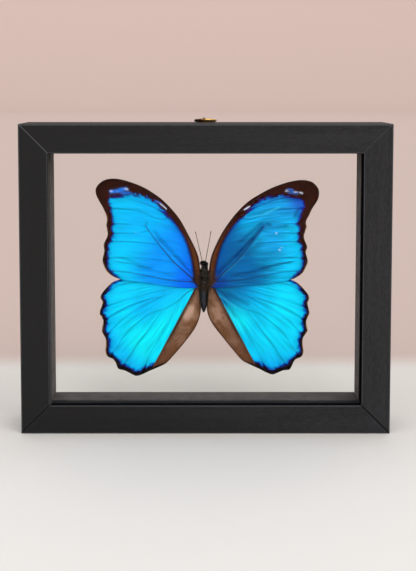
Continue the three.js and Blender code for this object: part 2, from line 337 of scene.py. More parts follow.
class FramePlace:
    """The numbers that tell a finish where it lies on the frame, in metres."""

    def __init__(self, shader: Shader) -> None:
        """Reads them from the place on the object."""
        self.side, self.back, self.height = shader.parts(shader.place())
        self.across = shader.unsigned(self.side)
        self.up = shader.unsigned(shader.minus(self.height, FRAME_HEIGHT * MM / 2))
        front = -FRAME_DEPTH / 2
        self.on_front = shader.step(self.back, (front + 0.6) * MM, (front + 0.9) * MM, 1.0, 0.0)

    def past(self, shader: Shader, half_width: float, half_height: float) -> Socket:
        """Gives how far the place is outside an upright rectangle round the frame's middle.

        Args:
            shader: the material that is being built.
            half_width: half the rectangle's width, in metres.
            half_height: half its height, in metres.

        Returns:
            The distance in metres, negative inside.
        """
        return shader.larger(shader.minus(self.across, half_width),
                             shader.minus(self.up, half_height))


@dataclass(frozen=True)
class StainedWood:
    """Close-grained wood, stained black with a satin finish, and dead black inside the window.

    Inside the window it has no reflection, and its dead black is painted shade for the recess.
    The left of the frame is painted darker and the right lighter, as painted light from the right.
    A paler colour along the front arrises and the upper mitres is a painted highlight, and the
    window's left wall is paler as painted light. The top face has a brown tone, a painted
    reflection of the warm backdrop. The lower mitres show as dark lines, and the back of the
    sill is paler.
    """

    grain: Grain
    dark: Colour = srgb(10, 10, 12)
    light: Colour = srgb(28, 28, 31)
    inside: Colour = srgb(13, 13, 15)
    painted_backdrop_reflection: Colour = srgb(44, 35, 31)
    painted_light: Colour = srgb(66, 68, 72)
    painted_lit_left_wall: Colour = srgb(84, 82, 82)
    sill: Colour = srgb(46, 46, 48)
    painted_mitre_highlight: Colour = srgb(104, 106, 111)
    rough: float = 0.5
    left_painted_shade: float = 0.35
    right_painted_light: float = 1.7
    right_mitre_highlight: float = 0.45
    level_reflection_share: float = 0.5

    def make(self) -> bpy.types.Material:
        """Builds the material."""
        shader = Shader(f"black wood {self.grain.value}")
        place = FramePlace(shader)
        dust = shader.noise(shader.place(), 2600, 2, 0.6)
        joint = self.joint(shader, place, dust)
        past_window = place.past(shader, WINDOW_HALF_WIDTH, WINDOW_HALF_HEIGHT)
        window = shader.step(past_window, 0.08 * MM, 0.3 * MM, 1.0, 0.0)
        top = FRAME_HEIGHT / 2
        # The level faces get the dull surface with a brown tone, a painted reflection of the warm
        # backdrop.
        level = shader.step(place.up, (top - 0.3) * MM, (top - 0.1) * MM, 0.0, self.level_reflection_share)
        lower = shader.step(place.height, 60 * MM, 80 * MM, 1.0, 0.0)
        seam = shader.times(joint, lower, place.on_front)
        satin = self.satin(shader, place, dust, joint, past_window)
        dull = self.dull(shader, place, window)
        return shader.finish(shader.blend(shader.larger(window, level, seam), satin, dull))

    def joint(self, shader: Shader, place: FramePlace, dust: Socket) -> Socket:
        """Finds the thin lines of the four mitres.

        Args:
            shader: the material that is being built.
            place: where it lies on the frame.
            dust: fine noise that breaks the lines up.

        Returns:
            1 on the lines, 0 elsewhere.
        """
        off = shader.minus(shader.minus(place.across, place.up),
                           (FRAME_WIDTH - FRAME_HEIGHT) * MM / 2)
        line = shader.step(shader.unsigned(off), 0.4 * MM, 0.7 * MM, 1.0, 0.0)
        return shader.times(line, shader.step(dust, 0.3, 0.6, 0.4, 1.0))

    def satin(self, shader: Shader, place: FramePlace, dust: Socket, joint: Socket,
              past_window: Socket) -> Socket:
        """Makes the rubbed outer surface.

        Args:
            shader: the material that is being built.
            place: where it lies on the frame.
            dust: fine noise.
            joint: 1 on the mitres.
            past_window: how far it is outside the window, in metres.

        Returns:
            The surface.
        """
        pores = shader.noise(shader.place(self.grain.stretch(3200, 400)), 1, 3, 0.62)
        figure = shader.noise(shader.place(self.grain.stretch(300, 14)), 1, 3, 0.55)
        tone = shader.plus(shader.times(pores, 0.7), shader.times(figure, 0.3))
        colour = shader.mix(shader.step(tone, 0.34, 0.66), self.dark, self.light)
        # Painted light: the colour is darker on the left of the frame and lighter on the right, as
        # if lit from the right.
        painted_side_light = shader.step(place.side, -100 * MM, 100 * MM, self.left_painted_shade, self.right_painted_light)
        colour = shader.mix(1.0, colour, shader.vector(painted_side_light, painted_side_light, painted_side_light), "MULTIPLY")
        # Painted highlight: a paler colour along the front arrises, broken up by fine noise.
        past_frame = place.past(shader, FRAME_WIDTH * MM / 2, FRAME_HEIGHT * MM / 2)
        arris = shader.larger(shader.step(past_frame, -0.9 * MM, -0.6 * MM),
                              shader.step(past_window, 0.5 * MM, 0.8 * MM, 1.0, 0.0))
        arris_highlight = shader.times(arris, shader.step(dust, 0.35, 0.65, 0.35, 1.0), place.on_front)
        colour = shader.mix(arris_highlight, colour, self.painted_light)
        # Painted highlight: a pale line along the mitres of the top and bottom rails, fainter on the
        # right.
        if self.grain is Grain.ACROSS:
            thin = shader.step(place.side, -10 * MM, 10 * MM, 1.0, self.right_mitre_highlight)
            colour = shader.mix(shader.times(joint, thin), colour, self.painted_mitre_highlight)
        rough = shader.step(dust, 0.3, 0.7, self.rough - 0.07, self.rough + 0.08)
        relief = shader.bump(dust, 0.12, 0.08 * MM, shader.bump(pores, 0.28, 0.12 * MM))
        return shader.surface(Base_Color=colour, Roughness=rough, Normal=relief,
                              Specular_IOR_Level=0.3)

    def dull(self, shader: Shader, place: FramePlace, window: Socket) -> Socket:
        """Makes the dull surface, without reflection, of the window's walls, the lower seams and the
        level faces.

        Args:
            shader: the material that is being built.
            place: where it lies on the frame.
            window: 1 on the window's walls.

        Returns:
            The surface.
        """
        lip_back = 4.4 - FRAME_DEPTH / 2
        # The back of the sill, low in the window, is paler.
        sill = shader.times(
            shader.step(place.height, (RAIL_FACE + 1) * MM, (RAIL_FACE + 2) * MM, 1.0, 0.0),
            shader.step(place.back, (lip_back - 1) * MM, (lip_back + 1) * MM))
        # Painted light: the window's left wall is paler, as if lit from the right.
        left = shader.step(place.side, 0.2 * MM - WINDOW_HALF_WIDTH,
                           0.5 * MM - WINDOW_HALF_WIDTH, 1.0, 0.0)
        # Painted shade: the window's walls are a dead black that stands in for the shade in the
        # recess.
        black = shader.mix(sill, self.inside, self.sill)
        black = shader.mix(left, black, self.painted_lit_left_wall)
        black = shader.mix(place.on_front, black, self.dark)
        # Painted reflection: the level faces take a brown tone for the warm backdrop.
        black = shader.mix(shader.larger(window, place.on_front), self.painted_backdrop_reflection, black)
        return shader.surface(Base_Color=black, Roughness=1.0, Specular_IOR_Level=0.0)


@dataclass(frozen=True)
class GreyCard:
    """The spacer's dull dark grey card."""

    grain: Grain
    dark: Colour = srgb(62, 58, 57)
    light: Colour = srgb(86, 81, 79)

    def make(self) -> bpy.types.Material:
        """Builds the material."""
        shader = Shader(f"grey card {self.grain.value}")
        fibre = shader.noise(shader.place(self.grain.stretch(2400, 500)), 1, 4, 0.65)
        cloud = shader.noise(shader.place(), 140, 2, 0.5)
        tone = shader.plus(shader.times(fibre, 0.6), shader.times(cloud, 0.4))
        colour = shader.mix(shader.step(tone, 0.3, 0.7), self.dark, self.light)
        return shader.finish(shader.surface(
            Base_Color=colour, Roughness=0.9, Normal=shader.bump(fibre, 0.3, 0.1 * MM),
            Specular_IOR_Level=0.15))


@dataclass(frozen=True)
class ClearPane:
    """Clear low-reflection glass that lets the light fall on what stands behind it."""

    ior: float = 1.12
    tint: Colour = (0.985, 0.993, 0.99, 1.0)

    def make(self) -> bpy.types.Material:
        """Builds the material."""
        shader = Shader("clear glass")
        glass = shader.surface(Base_Color=self.tint, Roughness=0.0, IOR=self.ior,
                               Transmission_Weight=1.0)
        passed = shader.node("BsdfTransparent")
        passed.inputs[0].default_value = self.tint
        light = shader.node("LightPath")
        return shader.finish(shader.blend(light.outputs["Is Shadow Ray"], glass,
                                          passed.outputs[0]))


@dataclass(frozen=True)
class ClearGlue:
    """A hardened clear dab, faintly yellow."""

    def make(self) -> bpy.types.Material:
        """Builds the material."""
        shader = Shader("clear glue")
        ripple = shader.bump(shader.noise(shader.place(), 500, 2, 0.5), 0.3, 0.0002)
        return shader.finish(shader.surface(
            Base_Color=srgb(236, 228, 205), Roughness=0.12, IOR=1.45,
            Transmission_Weight=0.85, Normal=ripple))


@dataclass(frozen=True)
class PlatedBrass:
    """Brass plate, painted nearly black on its left as painted shade and bright on its right as a
    painted highlight, in noisy patches.
    """

    def make(self) -> bpy.types.Material:
        """Builds the material."""
        shader = Shader("plated brass")
        patch = shader.noise(shader.place(), 420, 3, 0.6)
        drawn = shader.noise(shader.place((5200, 5200, 900)), 1, 2, 0.5)
        # Painted shade and highlight: the colour runs from nearly black on the left to bright gold
        # on the right.
        across = shader.parts(shader.place())[0]
        painted_light = shader.plus(shader.times(across, 1 / MM), shader.step(patch, 0.2, 0.8, 2.5, -2.5))
        shaded_brass = shader.mix(shader.step(painted_light, -6.0, -1.5), srgb(30, 20, 12), srgb(112, 74, 32))
        colour = shader.mix(shader.step(painted_light, -1.0, 2.5), shaded_brass, srgb(226, 184, 104))
        rough = shader.step(patch, 0.35, 0.7, 0.2, 0.38)
        return shader.finish(shader.surface(
            Base_Color=colour, Metallic=1.0, Roughness=rough,
            Normal=shader.bump(drawn, 0.15, 0.00005)))


@dataclass(frozen=True)
class InsectShell:
    """The body's hard skin: glossy black head and back with tan flecks, and a black abdomen painted
    lighter slate down the middle of its front as a painted highlight.
    """

    def make(self) -> bpy.types.Material:
        """Builds the material."""
        shader = Shader("insect shell")
        lumps = shader.noise(shader.place(), 1100, 3, 0.6)
        scales = shader.cells(shader.place((1, 1, 0.7)), 5200)
        flecks = shader.step(shader.noise(shader.place(), 1500, 3, 0.7), 0.58, 0.64)
        back = shader.mix(shader.step(lumps, 0.45, 0.75), srgb(3, 2, 2), srgb(22, 17, 13))
        back = shader.mix(shader.times(flecks, shader.value("flecked")), back,
                          srgb(128, 114, 94))
        # Painted highlight: the abdomen is lighter slate down the middle of its front and black at
        # its sides.
        slate = shader.mix(shader.value("ridge_highlight"), srgb(5, 5, 6), srgb(50, 52, 58))
        colour = shader.mix(shader.value("abdomen"), back, slate)
        colour = shader.mix(shader.value("eye"), colour, srgb(6, 6, 6))
        colour = shader.mix(shader.value("leg"), colour, srgb(44, 31, 22))
        rough = shader.step(shader.value("eye"), 0.2, 0.8, 0.42, 0.16)
        relief = shader.bump(lumps, 0.5, 0.0004, shader.bump(scales, 0.3, 0.00008))
        return shader.finish(shader.surface(
            Base_Color=colour, Roughness=rough, Normal=relief, Specular_IOR_Level=0.1))


@dataclass(frozen=True)
class Hair:
    """Fine hair, darker at the root."""

    name: str
    root: Colour
    tip: Colour

    def make(self) -> bpy.types.Material:
        """Builds the material."""
        shader = Shader(self.name)
        lock = shader.noise(shader.place(), 1500, 2, 0.6)
        colour = shader.mix(shader.step(lock, 0.35, 0.65), self.root, self.tip)
        return shader.finish(shader.surface(Base_Color=colour, Roughness=0.6,
                                            Specular_IOR_Level=0.15))


@dataclass(frozen=True)
class VeinSkin:
    """A wing vein's horny tube, dark at the wing's root and blue further out."""

    name: str
    root: Colour
    tip: Colour
    fades: tuple[float, float] = (26.0, 58.0)

    def make(self) -> bpy.types.Material:
        """Builds the material."""
        shader = Shader(self.name)
        spots = shader.noise(shader.place(), 1200, 2, 0.5)
        out = shader.plus(shader.away(SPECIMEN_AT), shader.step(spots, 0.3, 0.7, -4.0, 4.0))
        colour = shader.mix(shader.step(out, *self.fades), self.root, self.tip)
        return shader.finish(shader.surface(Base_Color=colour, Roughness=0.5,
                                            Specular_IOR_Level=0.2))


@dataclass(frozen=True)
class UpperScales:
    """The bright upper side of a wing: structural blue, dark border, pale fringe, and painted glint
    streaks and dots.

    The mesh carries what the pattern needs, in millimetres: lane and reach say where a point
    lies across and along the rows of scales, field how far it is inside the blue, rim how far
    from the wing's edge and vein from the nearest vein. The blue comes from ground, partly the
    wing's own colour and partly painted light. The glow and spark marks are painted glint streaks
    and dots, shade and lit are painted shade and painted highlight, and fringe is the pale edge.
    """

    name: str
    border: Colour = srgb(31, 6, 2)
    border_light: Colour = srgb(62, 22, 7)
    warm: Colour = srgb(88, 46, 18)
    violet: Colour = srgb(12, 20, 150)
    vein_blue: Colour = srgb(0, 44, 128)
    painted_glint: Colour = srgb(22, 132, 255)
    lit: Colour = srgb(58, 204, 248)
    fringe: Colour = srgb(176, 120, 66)
    painted_sparkle: Colour = srgb(228, 234, 255)
    vein_shade: float = 0.5
    streaks: float = 0.16
    sheen: float = 0.25
    deep_blue_and_shade: Colour = srgb(2, 34, 92)
    comb: Colour = srgb(0, 44, 170)
    low_border_dark: Colour = srgb(14, 6, 4)
    rim: Colour = srgb(10, 4, 3)

    def make(self) -> bpy.types.Material:
        """Builds the material."""
        shader = Shader(self.name)
        lane, reach = shader.value("lane"), shader.value("reach")
        threads = shader.streaks(lane, reach, 1.3, 0.08, 3)
        rows = shader.streaks(lane, reach, 0.7, 3.4)
        blue = self.blue(shader, lane, reach, threads, rows)
        edge = self.ragged_edge(shader, lane, reach)
        skin = self.marked(shader, self.bordered(shader, blue, edge, reach, threads))
        shiny = shader.times(shader.step(edge, -0.1, 0.6), self.sheen)
        skin, shiny = self.cover(shader, skin, shiny)
        relief = shader.plus(shader.times(rows, 0.4), shader.times(threads, 0.6))
        return shader.finish(shader.surface(
            Base_Color=skin, Metallic=shiny, Roughness=shader.step(edge, -0.2, 0.5, 0.6, 0.4),
            Normal=shader.bump(relief, 0.25, 0.2 * MM), Specular_IOR_Level=0.03))

    def blue(self, shader: Shader, lane: Socket, reach: Socket, threads: Socket,
             rows: Socket) -> Socket:
        """Streaks the blue along its rows of scales, darkens it at the veins, and lays painted shade
        along the folds and creases and painted highlight streaks beside them.

        Args:
            shader: the material that is being built.
            lane: the place across the rows.
            reach: the place along the rows.
            threads: the fine streaks.
            rows: the fine bands across them.

        Returns:
            The blue.
        """
        broad = shader.streaks(lane, reach, 0.45, 0.04)
        fine, wide = self.streaks, 0.6 * self.streaks
        light = shader.times(shader.step(threads, 0.3, 0.7, 1.0 - fine, 1.0 + fine),
                             shader.step(broad, 0.3, 0.7, 1.0 - wide, 1.0 + wide),
                             shader.step(rows, 0.3, 0.7, 0.95, 1.05))
        # The blue read here is partly the wing's own colour and partly painted light.
        blue = shader.mix(1.0, shader.colour("blue_with_painted_light"), shader.vector(light, light, light),
                          "MULTIPLY")
        beside_vein = shader.step(shader.value("vein"), 0.16, 0.44, self.vein_shade, 0.0)
        blue = shader.mix(beside_vein, blue, self.vein_blue)
        # Painted shade along creases and pleats, and painted highlight streaks beside them.
        shade = shader.times(shader.value("shade"), shader.step(threads, 0.2, 0.75, 1.0, 0.62))
        blue = shader.mix(shade, blue, self.deep_blue_and_shade)
        lit = shader.times(shader.value("lit"), shader.step(threads, 0.2, 0.5))
        return shader.mix(lit, blue, self.lit)

    def bordered(self, shader: Shader, blue: Socket, edge: Socket, reach: Socket,
                 threads: Socket) -> Socket:
        """Runs the blue out through violet into the dark border.

        Args:
            shader: the material that is being built.
            blue: the blue.
            edge: the distance inside its frayed edge.
            reach: the place along the rows.
            threads: the fine streaks.

        Returns:
            The wing's colour.
        """
        comb = shader.times(shader.step(threads, 0.48, 0.6), shader.step(edge, 0.3, 5.5, 0.55, 0.0))
        blue = shader.mix(comb, blue, self.comb)
        verge = shader.mix(shader.step(reach, 20.0, 44.0), self.deep_blue_and_shade, self.violet)
        skin = shader.mix(shader.step(edge, -0.1, 1.7), verge, blue)
        return shader.mix(shader.step(edge, -0.5, 0.25), self.earth(shader, edge), skin)

    def marked(self, shader: Shader, skin: Socket) -> Socket:
        """Lays the painted glint streaks and dots and the pale fringe over the wing's colour."""
        # Painted glints: bright blue streaks and white dots.
        patchy = shader.step(shader.noise(shader.place(), 1700, 2, 0.6), 0.32, 0.56, 0.55, 1.0)
        skin = shader.mix(shader.times(shader.value("painted_glint"), patchy), skin, self.painted_glint)
        skin = shader.mix(shader.value("painted_sparkle"), skin, self.painted_sparkle)
        tips = shader.step(shader.noise(shader.place(), 1000, 1, 0.5), 0.46, 0.56)
        return shader.mix(shader.times(shader.value("fringe"), tips), skin, self.fringe)

    def ragged_edge(self, shader: Shader, lane: Socket, reach: Socket) -> Socket:
        """Frays the edge of the blue along the rows of scales and notches it at the veins.

        Args:
            shader: the material that is being built.
            lane: the place across the rows.
            reach: the place along the rows.

        Returns:
            The distance inside the frayed edge, in mm.
        """
        tufts = shader.streaks(lane, reach, 1.15, 0.4, 3)
        dust = shader.noise(shader.place(), 3400, 2, 0.6)
        notch = shader.step(shader.value("vein"), 0.1, 1.1, 0.8, 0.0)
        fray = shader.plus(shader.step(tufts, 0.25, 0.75, -0.7, 0.7),
                           shader.step(dust, 0.25, 0.75, -0.2, 0.2))
        fray = shader.times(fray, shader.step(reach, 20.0, 48.0, 0.25, 1.0))
        cloud = shader.noise(shader.place((1, 1, 0.3)), 1300, 3, 0.6)
        loose = shader.times(shader.step(cloud, 0.3, 0.7, -1.3, 0.9), shader.step(lane, 45.0, 49.0))
        return shader.plus(shader.minus(shader.value("field"), notch), shader.plus(fray, loose))

    def earth(self, shader: Shader, edge: Socket) -> Socket:
        """Colours the dark border: warm brown near the wing's root, almost black at its rim.

        Args:
            shader: the material that is being built.
            edge: the distance inside the blue, negative in the border.

        Returns:
            The border's colour.
        """
        rim, reach = shader.value("rim"), shader.value("reach")
        mottle = shader.noise(shader.place((0.6, 1, 1)), 700, 3, 0.6)
        earth = shader.mix(shader.step(mottle, 0.28, 0.78), self.border, self.border_light)
        inward = shader.times(shader.step(reach, 14.0, 41.0, 1.0, 0.0),
                              shader.step(rim, 0.5, 1.3), shader.step(edge, -1.7, -0.5, 1.0, 0.15))
        earth = shader.mix(inward, earth, self.warm)
        # The outer border is darker lower down on the wing.
        height = shader.parts(shader.place())[2]
        low = shader.times(shader.step(height, 96 * MM, 116 * MM, 0.7, 0.0),
                           shader.step(reach, 36.0, 44.0))
        earth = shader.mix(low, earth, self.low_border_dark)
        return shader.mix(shader.step(rim, 0.15, 0.7), self.rim, earth)

    def cover(self, shader: Shader, skin: Socket, shiny: Socket) -> tuple[Socket, Socket]:
        """Lays a wing's other colours over the pattern. A plain wing has none."""
        return skin, shiny


@dataclass(frozen=True)
class HindScales(UpperScales):
    """The hindwing's upper side, with its bare brown part inside the fold."""

    seam: Colour = srgb(52, 28, 20)
    middle: Colour = srgb(132, 94, 70)
    pale: Colour = srgb(196, 158, 138)
    inner: Colour = srgb(124, 84, 54)
    foot: Colour = srgb(106, 60, 30)
    edging: Colour = srgb(82, 46, 24)

    def cover(self, shader: Shader, skin: Socket, shiny: Socket) -> tuple[Socket, Socket]:
        """Lays the brown part over the blue.

        Args:
            shader: the material that is being built.
            skin: the colour so far.
            shiny: how metallic the scales are so far.

        Returns:
            Both, with the brown part over them.
        """
        past, reach, rim = (shader.value(n) for n in ("past_fold", "reach", "rim"))
        folds = shader.streaks(past, reach, 0.9, 0.06, 3)
        cloud = shader.noise(shader.place(), 190, 2, 0.6)
        place = shader.plus(past, shader.step(folds, 0.2, 0.8, -0.9, 0.9))
        brown = shader.mix(shader.step(place, 0.2, 3.0), self.seam, self.middle)
        brown = shader.mix(shader.step(place, 4.4, 7.2), brown, self.inner)
        pale = shader.plus(shader.step(cloud, 0.45, 0.68, 0.0, 0.25), shader.value("pale"),
                           clamp=True)
        brown = shader.mix(shader.times(pale, shader.step(place, 0.8, 2.4)), brown, self.pale)
        brown = shader.mix(shader.step(reach, 26.0, 52.0, 0.0, 0.8), brown, self.foot)
        brown = shader.mix(shader.step(folds, 0.56, 0.66, 0.0, 0.4), brown, self.seam)
        brown = shader.mix(shader.step(rim, 0.2, 1.3), self.edging, brown)
        spots = shader.step(shader.noise(shader.place(), 900, 3, 0.65), 0.35, 0.65, 0.4, 0.0)
        brown = shader.mix(shader.times(spots, shader.step(reach, 14.0, 30.0)), brown, self.seam)
        end = shader.times(shader.step(reach, 47.0, 50.0), shader.step(rim, 0.8, 1.8, 1.0, 0.0))
        brown = shader.mix(end, brown, self.border)
        bare = shader.step(past, -0.15, 0.3)
        return shader.mix(bare, skin, brown), shader.times(shiny, shader.minus(1.0, bare))


@dataclass(frozen=True)
class UnderScales:
    """The underside: bronze brown with paler bands and a row of ringed eyespots."""

    name: str

    def make(self) -> bpy.types.Material:
        """Builds the material."""
        shader = Shader(self.name)
        reach, rim = shader.value("reach"), shader.value("rim")
        cloud = shader.noise(shader.place(), 160, 3, 0.6)
        fine = shader.noise(shader.place(), 1700, 2, 0.6)
        wander = shader.plus(reach, shader.step(cloud, 0.2, 0.8, -3.5, 3.5))
        brown = shader.mix(shader.step(fine, 0.3, 0.7), srgb(84, 56, 36), srgb(112, 78, 50))
        for start, width in ((21.0, 1.3), (36.0, 1.7), (46.0, 1.0)):
            gap = shader.unsigned(shader.minus(wander, start))
            band = shader.step(gap, width * 0.6, width, 0.8, 0.0)
            brown = shader.mix(band, brown, srgb(176, 150, 112))
        line = shader.unsigned(shader.minus(rim, 2.6))
        brown = shader.mix(shader.step(line, 0.25, 0.7, 0.75, 0.0), brown, srgb(188, 160, 116))
        rings = ((0.92, 1.0, srgb(198, 166, 98)), (0.74, 0.8, srgb(30, 16, 10)),
                 (0.42, 0.5, srgb(120, 54, 36)), (0.12, 0.2, srgb(226, 222, 214)))
        for inside, outside, tone in rings:
            ring = shader.step(shader.value("eyespot"), inside, outside, 1.0, 0.0)
            brown = shader.mix(ring, brown, tone)
        relief = shader.bump(fine, 0.3, 0.12 * MM)
        return shader.finish(shader.surface(
            Base_Color=brown, Roughness=0.6, Normal=relief, Specular_IOR_Level=0.35))


@dataclass(frozen=True)
class StudioPaper:
    """The pale table top, and the warm beige paper that lies and rises behind it."""

    near: Colour = srgb(236, 233, 230)
    middle: Colour = srgb(223, 219, 215)
    far: Colour = srgb(202, 182, 175)
    wall: Colour = srgb(214, 193, 186)
    table_edge: float = 0.11

    def make(self) -> bpy.types.Material:
        """Builds the material."""
        shader = Shader("studio paper")
        _, back, up = shader.parts(shader.place())
        colour = shader.mix(shader.step(back, -0.12, 0.06), self.near, self.middle)
        colour = shader.mix(shader.step(back, self.table_edge, self.table_edge + 0.05),
                            colour, self.far)
        colour = shader.mix(shader.step(up, 0.0, 1.6), colour, self.wall)
        return shader.finish(shader.surface(Base_Color=colour, Roughness=0.9,
                                            Specular_IOR_Level=0.1))


# ---- Geometry node trees -------------------------------------------------------------------


class GeometryTree:
    """A geometry node tree with named inputs, and the means to run it once on a piece."""

    def __init__(self, name: str) -> None:
        """Starts a tree with one geometry in and one out."""
        self.tree = bpy.data.node_groups.new(name, "GeometryNodeTree")
        face = self.tree.interface
        face.new_socket("Geometry", in_out="INPUT", socket_type="NodeSocketGeometry")
        face.new_socket("Geometry", in_out="OUTPUT", socket_type="NodeSocketGeometry")
        self.entry = self.tree.nodes.new("NodeGroupInput")
        self.exit = self.tree.nodes.new("NodeGroupOutput")

    def number(self, name: str, default: float | int) -> Socket:
        """Adds a named number to the tree's inputs, a whole one if its default is whole.

        Args:
            name: the input's name.
            default: its value when nothing else is given.

        Returns:
            The socket that gives the number inside the tree.
        """
        kind = "NodeSocketInt" if isinstance(default, int) else "NodeSocketFloat"
        socket = self.tree.interface.new_socket(name, in_out="INPUT", socket_type=kind)
        socket.default_value = default
        return self.entry.outputs[name]

    def node(self, kind: str, inputs: dict[str | int, object] | None = None,
             **settings: object) -> bpy.types.Node:
        """Adds a node.

        Args:
            kind: the node type's full name.
            inputs: values or sockets, by input name or number.
            **settings: properties of the node.

        Returns:
            The new node.
        """
        made = self.tree.nodes.new(kind)
        for key, value in settings.items():
            setattr(made, key, value)
        for key, value in (inputs or {}).items():
            if isinstance(value, bpy.types.NodeSocket):
                self.tree.links.new(value, made.inputs[key])
            else:
                made.inputs[key].default_value = value
        return made

    def end(self, geometry: Socket, material: bpy.types.Material) -> None:
        """Ends the tree: instances made real, in one material."""
        real = self.node("GeometryNodeRealizeInstances", {"Geometry": geometry})
        coat = self.node("GeometryNodeSetMaterial",
                         {"Geometry": real.outputs[0], "Material": material})
        self.tree.links.new(coat.outputs[0], self.exit.inputs[0])

    def run(self, source: bpy.types.Object, name: str, values: dict[str, float]
            ) -> bpy.types.Object:
        """Runs the tree on an object and keeps the result as a plain mesh.

        Args:
            source: the object that the tree works on. It is deleted.
            name: the new piece's name.
            values: the tree's inputs, by name.

        Returns:
            The new piece.
        """
        modifier = source.modifiers.new("build", "NODES")
        modifier.node_group = self.tree
        for item in self.tree.interface.items_tree:
            if item.item_type == "SOCKET" and item.in_out == "INPUT" and item.name in values:
                modifier[item.identifier] = values[item.name]
        depsgraph = bpy.context.evaluated_depsgraph_get()
        mesh = bpy.data.meshes.new_from_object(source.evaluated_get(depsgraph))
        mesh.name = name
        source.modifiers.remove(modifier)
        bpy.data.objects.remove(source)
        return add_object(name, mesh)


def sweep_tree(material: bpy.types.Material, sides: int) -> GeometryTree:
    """Makes the tree that turns curves with a radius at each point into round tubes.

    Args:
        material: what the tubes are made of.
        sides: how many sides a tube has.

    Returns:
        The tree, with the input Thickness, which multiplies the radii.
    """
    tree = GeometryTree("tubes along curves")
    thickness = tree.number("Thickness", 1.0)
    section = tree.node("GeometryNodeCurvePrimitiveCircle", {"Resolution": sides, "Radius": 1.0})
    radius = tree.node("GeometryNodeInputRadius")
    scaled = tree.node("ShaderNodeMath", {0: radius.outputs[0], 1: thickness},
                       operation="MULTIPLY")
    tube = tree.node("GeometryNodeCurveToMesh", {
        "Curve": tree.entry.outputs[0], "Profile Curve": section.outputs[0],
        "Scale": scaled.outputs[0], "Fill Caps": True})
    smooth = tree.node("GeometryNodeSetShadeSmooth", {"Geometry": tube.outputs[0]})
    tree.end(smooth.outputs[0], material)
    return tree


def fur_tree(material: bpy.types.Material, lay: Sequence[float]) -> GeometryTree:
    """Makes the tree that sets bent tapering hairs over a surface.

    Args:
        material: the hair's material.
        lay: the way that the hairs lean.

    Returns:
        The tree, with the inputs Density, Length, Thickness and Seed. The surface's number
        called hairy thins the hair out.
    """
    tree = GeometryTree("hairs over a surface")
    density = tree.number("Density", 1.0e6)
    length = tree.number("Length", 2 * MM)
    thickness = tree.number("Thickness", 0.05 * MM)
    seed = tree.number("Seed", 1)
    hairy = tree.node("GeometryNodeInputNamedAttribute", {"Name": "hairy"}, data_type="FLOAT")
    local = tree.node("ShaderNodeMath", {0: hairy.outputs[0], 1: density}, operation="MULTIPLY")
    points = tree.node("GeometryNodeDistributePointsOnFaces", {
        "Mesh": tree.entry.outputs[0], "Density": local.outputs[0], "Seed": seed})
    path = tree.node("GeometryNodeCurvePrimitiveBezierSegment", {
        "Resolution": 4, "Start": (0, 0, 0), "Start Handle": (0, 0, 0.35),
        "End Handle": (0.1, 0, 0.7), "End": (0.32, 0, 1.0)})
    share = tree.node("GeometryNodeSplineParameter")
    slim = tree.node("ShaderNodeMapRange", {0: share.outputs["Factor"], 3: 1.0, 4: 0.12})
    ratio = tree.node("ShaderNodeMath", {0: thickness, 1: length}, operation="DIVIDE")
    section = tree.node("GeometryNodeCurvePrimitiveCircle", {
        "Resolution": 3, "Radius": ratio.outputs[0]})
    hair = tree.node("GeometryNodeCurveToMesh", {
        "Curve": path.outputs[0], "Profile Curve": section.outputs[0],
        "Scale": slim.outputs[0], "Fill Caps": True})
    lean = tree.node("ShaderNodeVectorMath", {0: points.outputs["Normal"], 1: tuple(lay)},
                     operation="ADD")
    stray = tree.node("FunctionNodeRandomValue", {
        0: (-0.5, -0.5, -0.5), 1: (0.5, 0.5, 0.5), "Seed": seed}, data_type="FLOAT_VECTOR")
    aim = tree.node("ShaderNodeVectorMath", {0: lean.outputs[0], 1: stray.outputs[0]},
                    operation="ADD")
    turn = tree.node("FunctionNodeAlignRotationToVector", {"Vector": aim.outputs[0]}, axis="Z")
    sizes = tree.node("FunctionNodeRandomValue", {2: 0.55, 3: 1.15, "Seed": seed},
                      data_type="FLOAT")
    grown = tree.node("ShaderNodeMath", {0: sizes.outputs[1], 1: length}, operation="MULTIPLY")
    coat = tree.node("GeometryNodeInstanceOnPoints", {
        "Points": points.outputs[0], "Instance": hair.outputs[0],
        "Rotation": turn.outputs[0], "Scale": grown.outputs[0]})
    tree.end(coat.outputs[0], material)
    return tree


# ---- Meshes --------------------------------------------------------------------------------


def add_object(name: str, mesh: bpy.types.ID) -> bpy.types.Object:
    """Puts a mesh or curve into the scene as an object at the origin."""
    made = bpy.data.objects.new(name, mesh)
    bpy.context.scene.collection.objects.link(made)
    return made


@dataclass(frozen=True)
class Fur:
    """A coat of short hairs, with their length and thickness in mm.

    The density is in hairs for each square metre, and the lay is the way that they lean.
    """

    density: float
    length: float
    thickness: float
    lay: tuple[float, float, float]
    seed: int

    def grow(self, skin: bpy.types.Object, name: str, hair: Hair) -> bpy.types.Object:
        """Sets the coat over a skin, which stays as it is.

        Args:
            skin: the piece that the hairs stand on.
            name: the coat's name.
            hair: the hairs' finish.

        Returns:
            The coat.
        """
        bed = add_object(name + "_bed", skin.data.copy())
        return fur_tree(hair.make(), self.lay).run(bed, name, {
            "Density": self.density, "Length": self.length * MM,
            "Thickness": self.thickness * MM, "Seed": self.seed})


def add_mesh(name: str, points: np.ndarray, faces: Sequence[Sequence[int]]) -> bpy.types.Object:
    """Makes a smooth-shaded mesh object from points in metres.

    Args:
        name: the piece's name.
        points: one row for each point.
        faces: point numbers, anticlockwise seen from outside.

    Returns:
        The new object.
    """
    mesh = bpy.data.meshes.new(name)
    mesh.from_pydata([tuple(p) for p in points], [], [tuple(f) for f in faces])
    mesh.update()
    mesh.shade_smooth()
    return add_object(name, mesh)


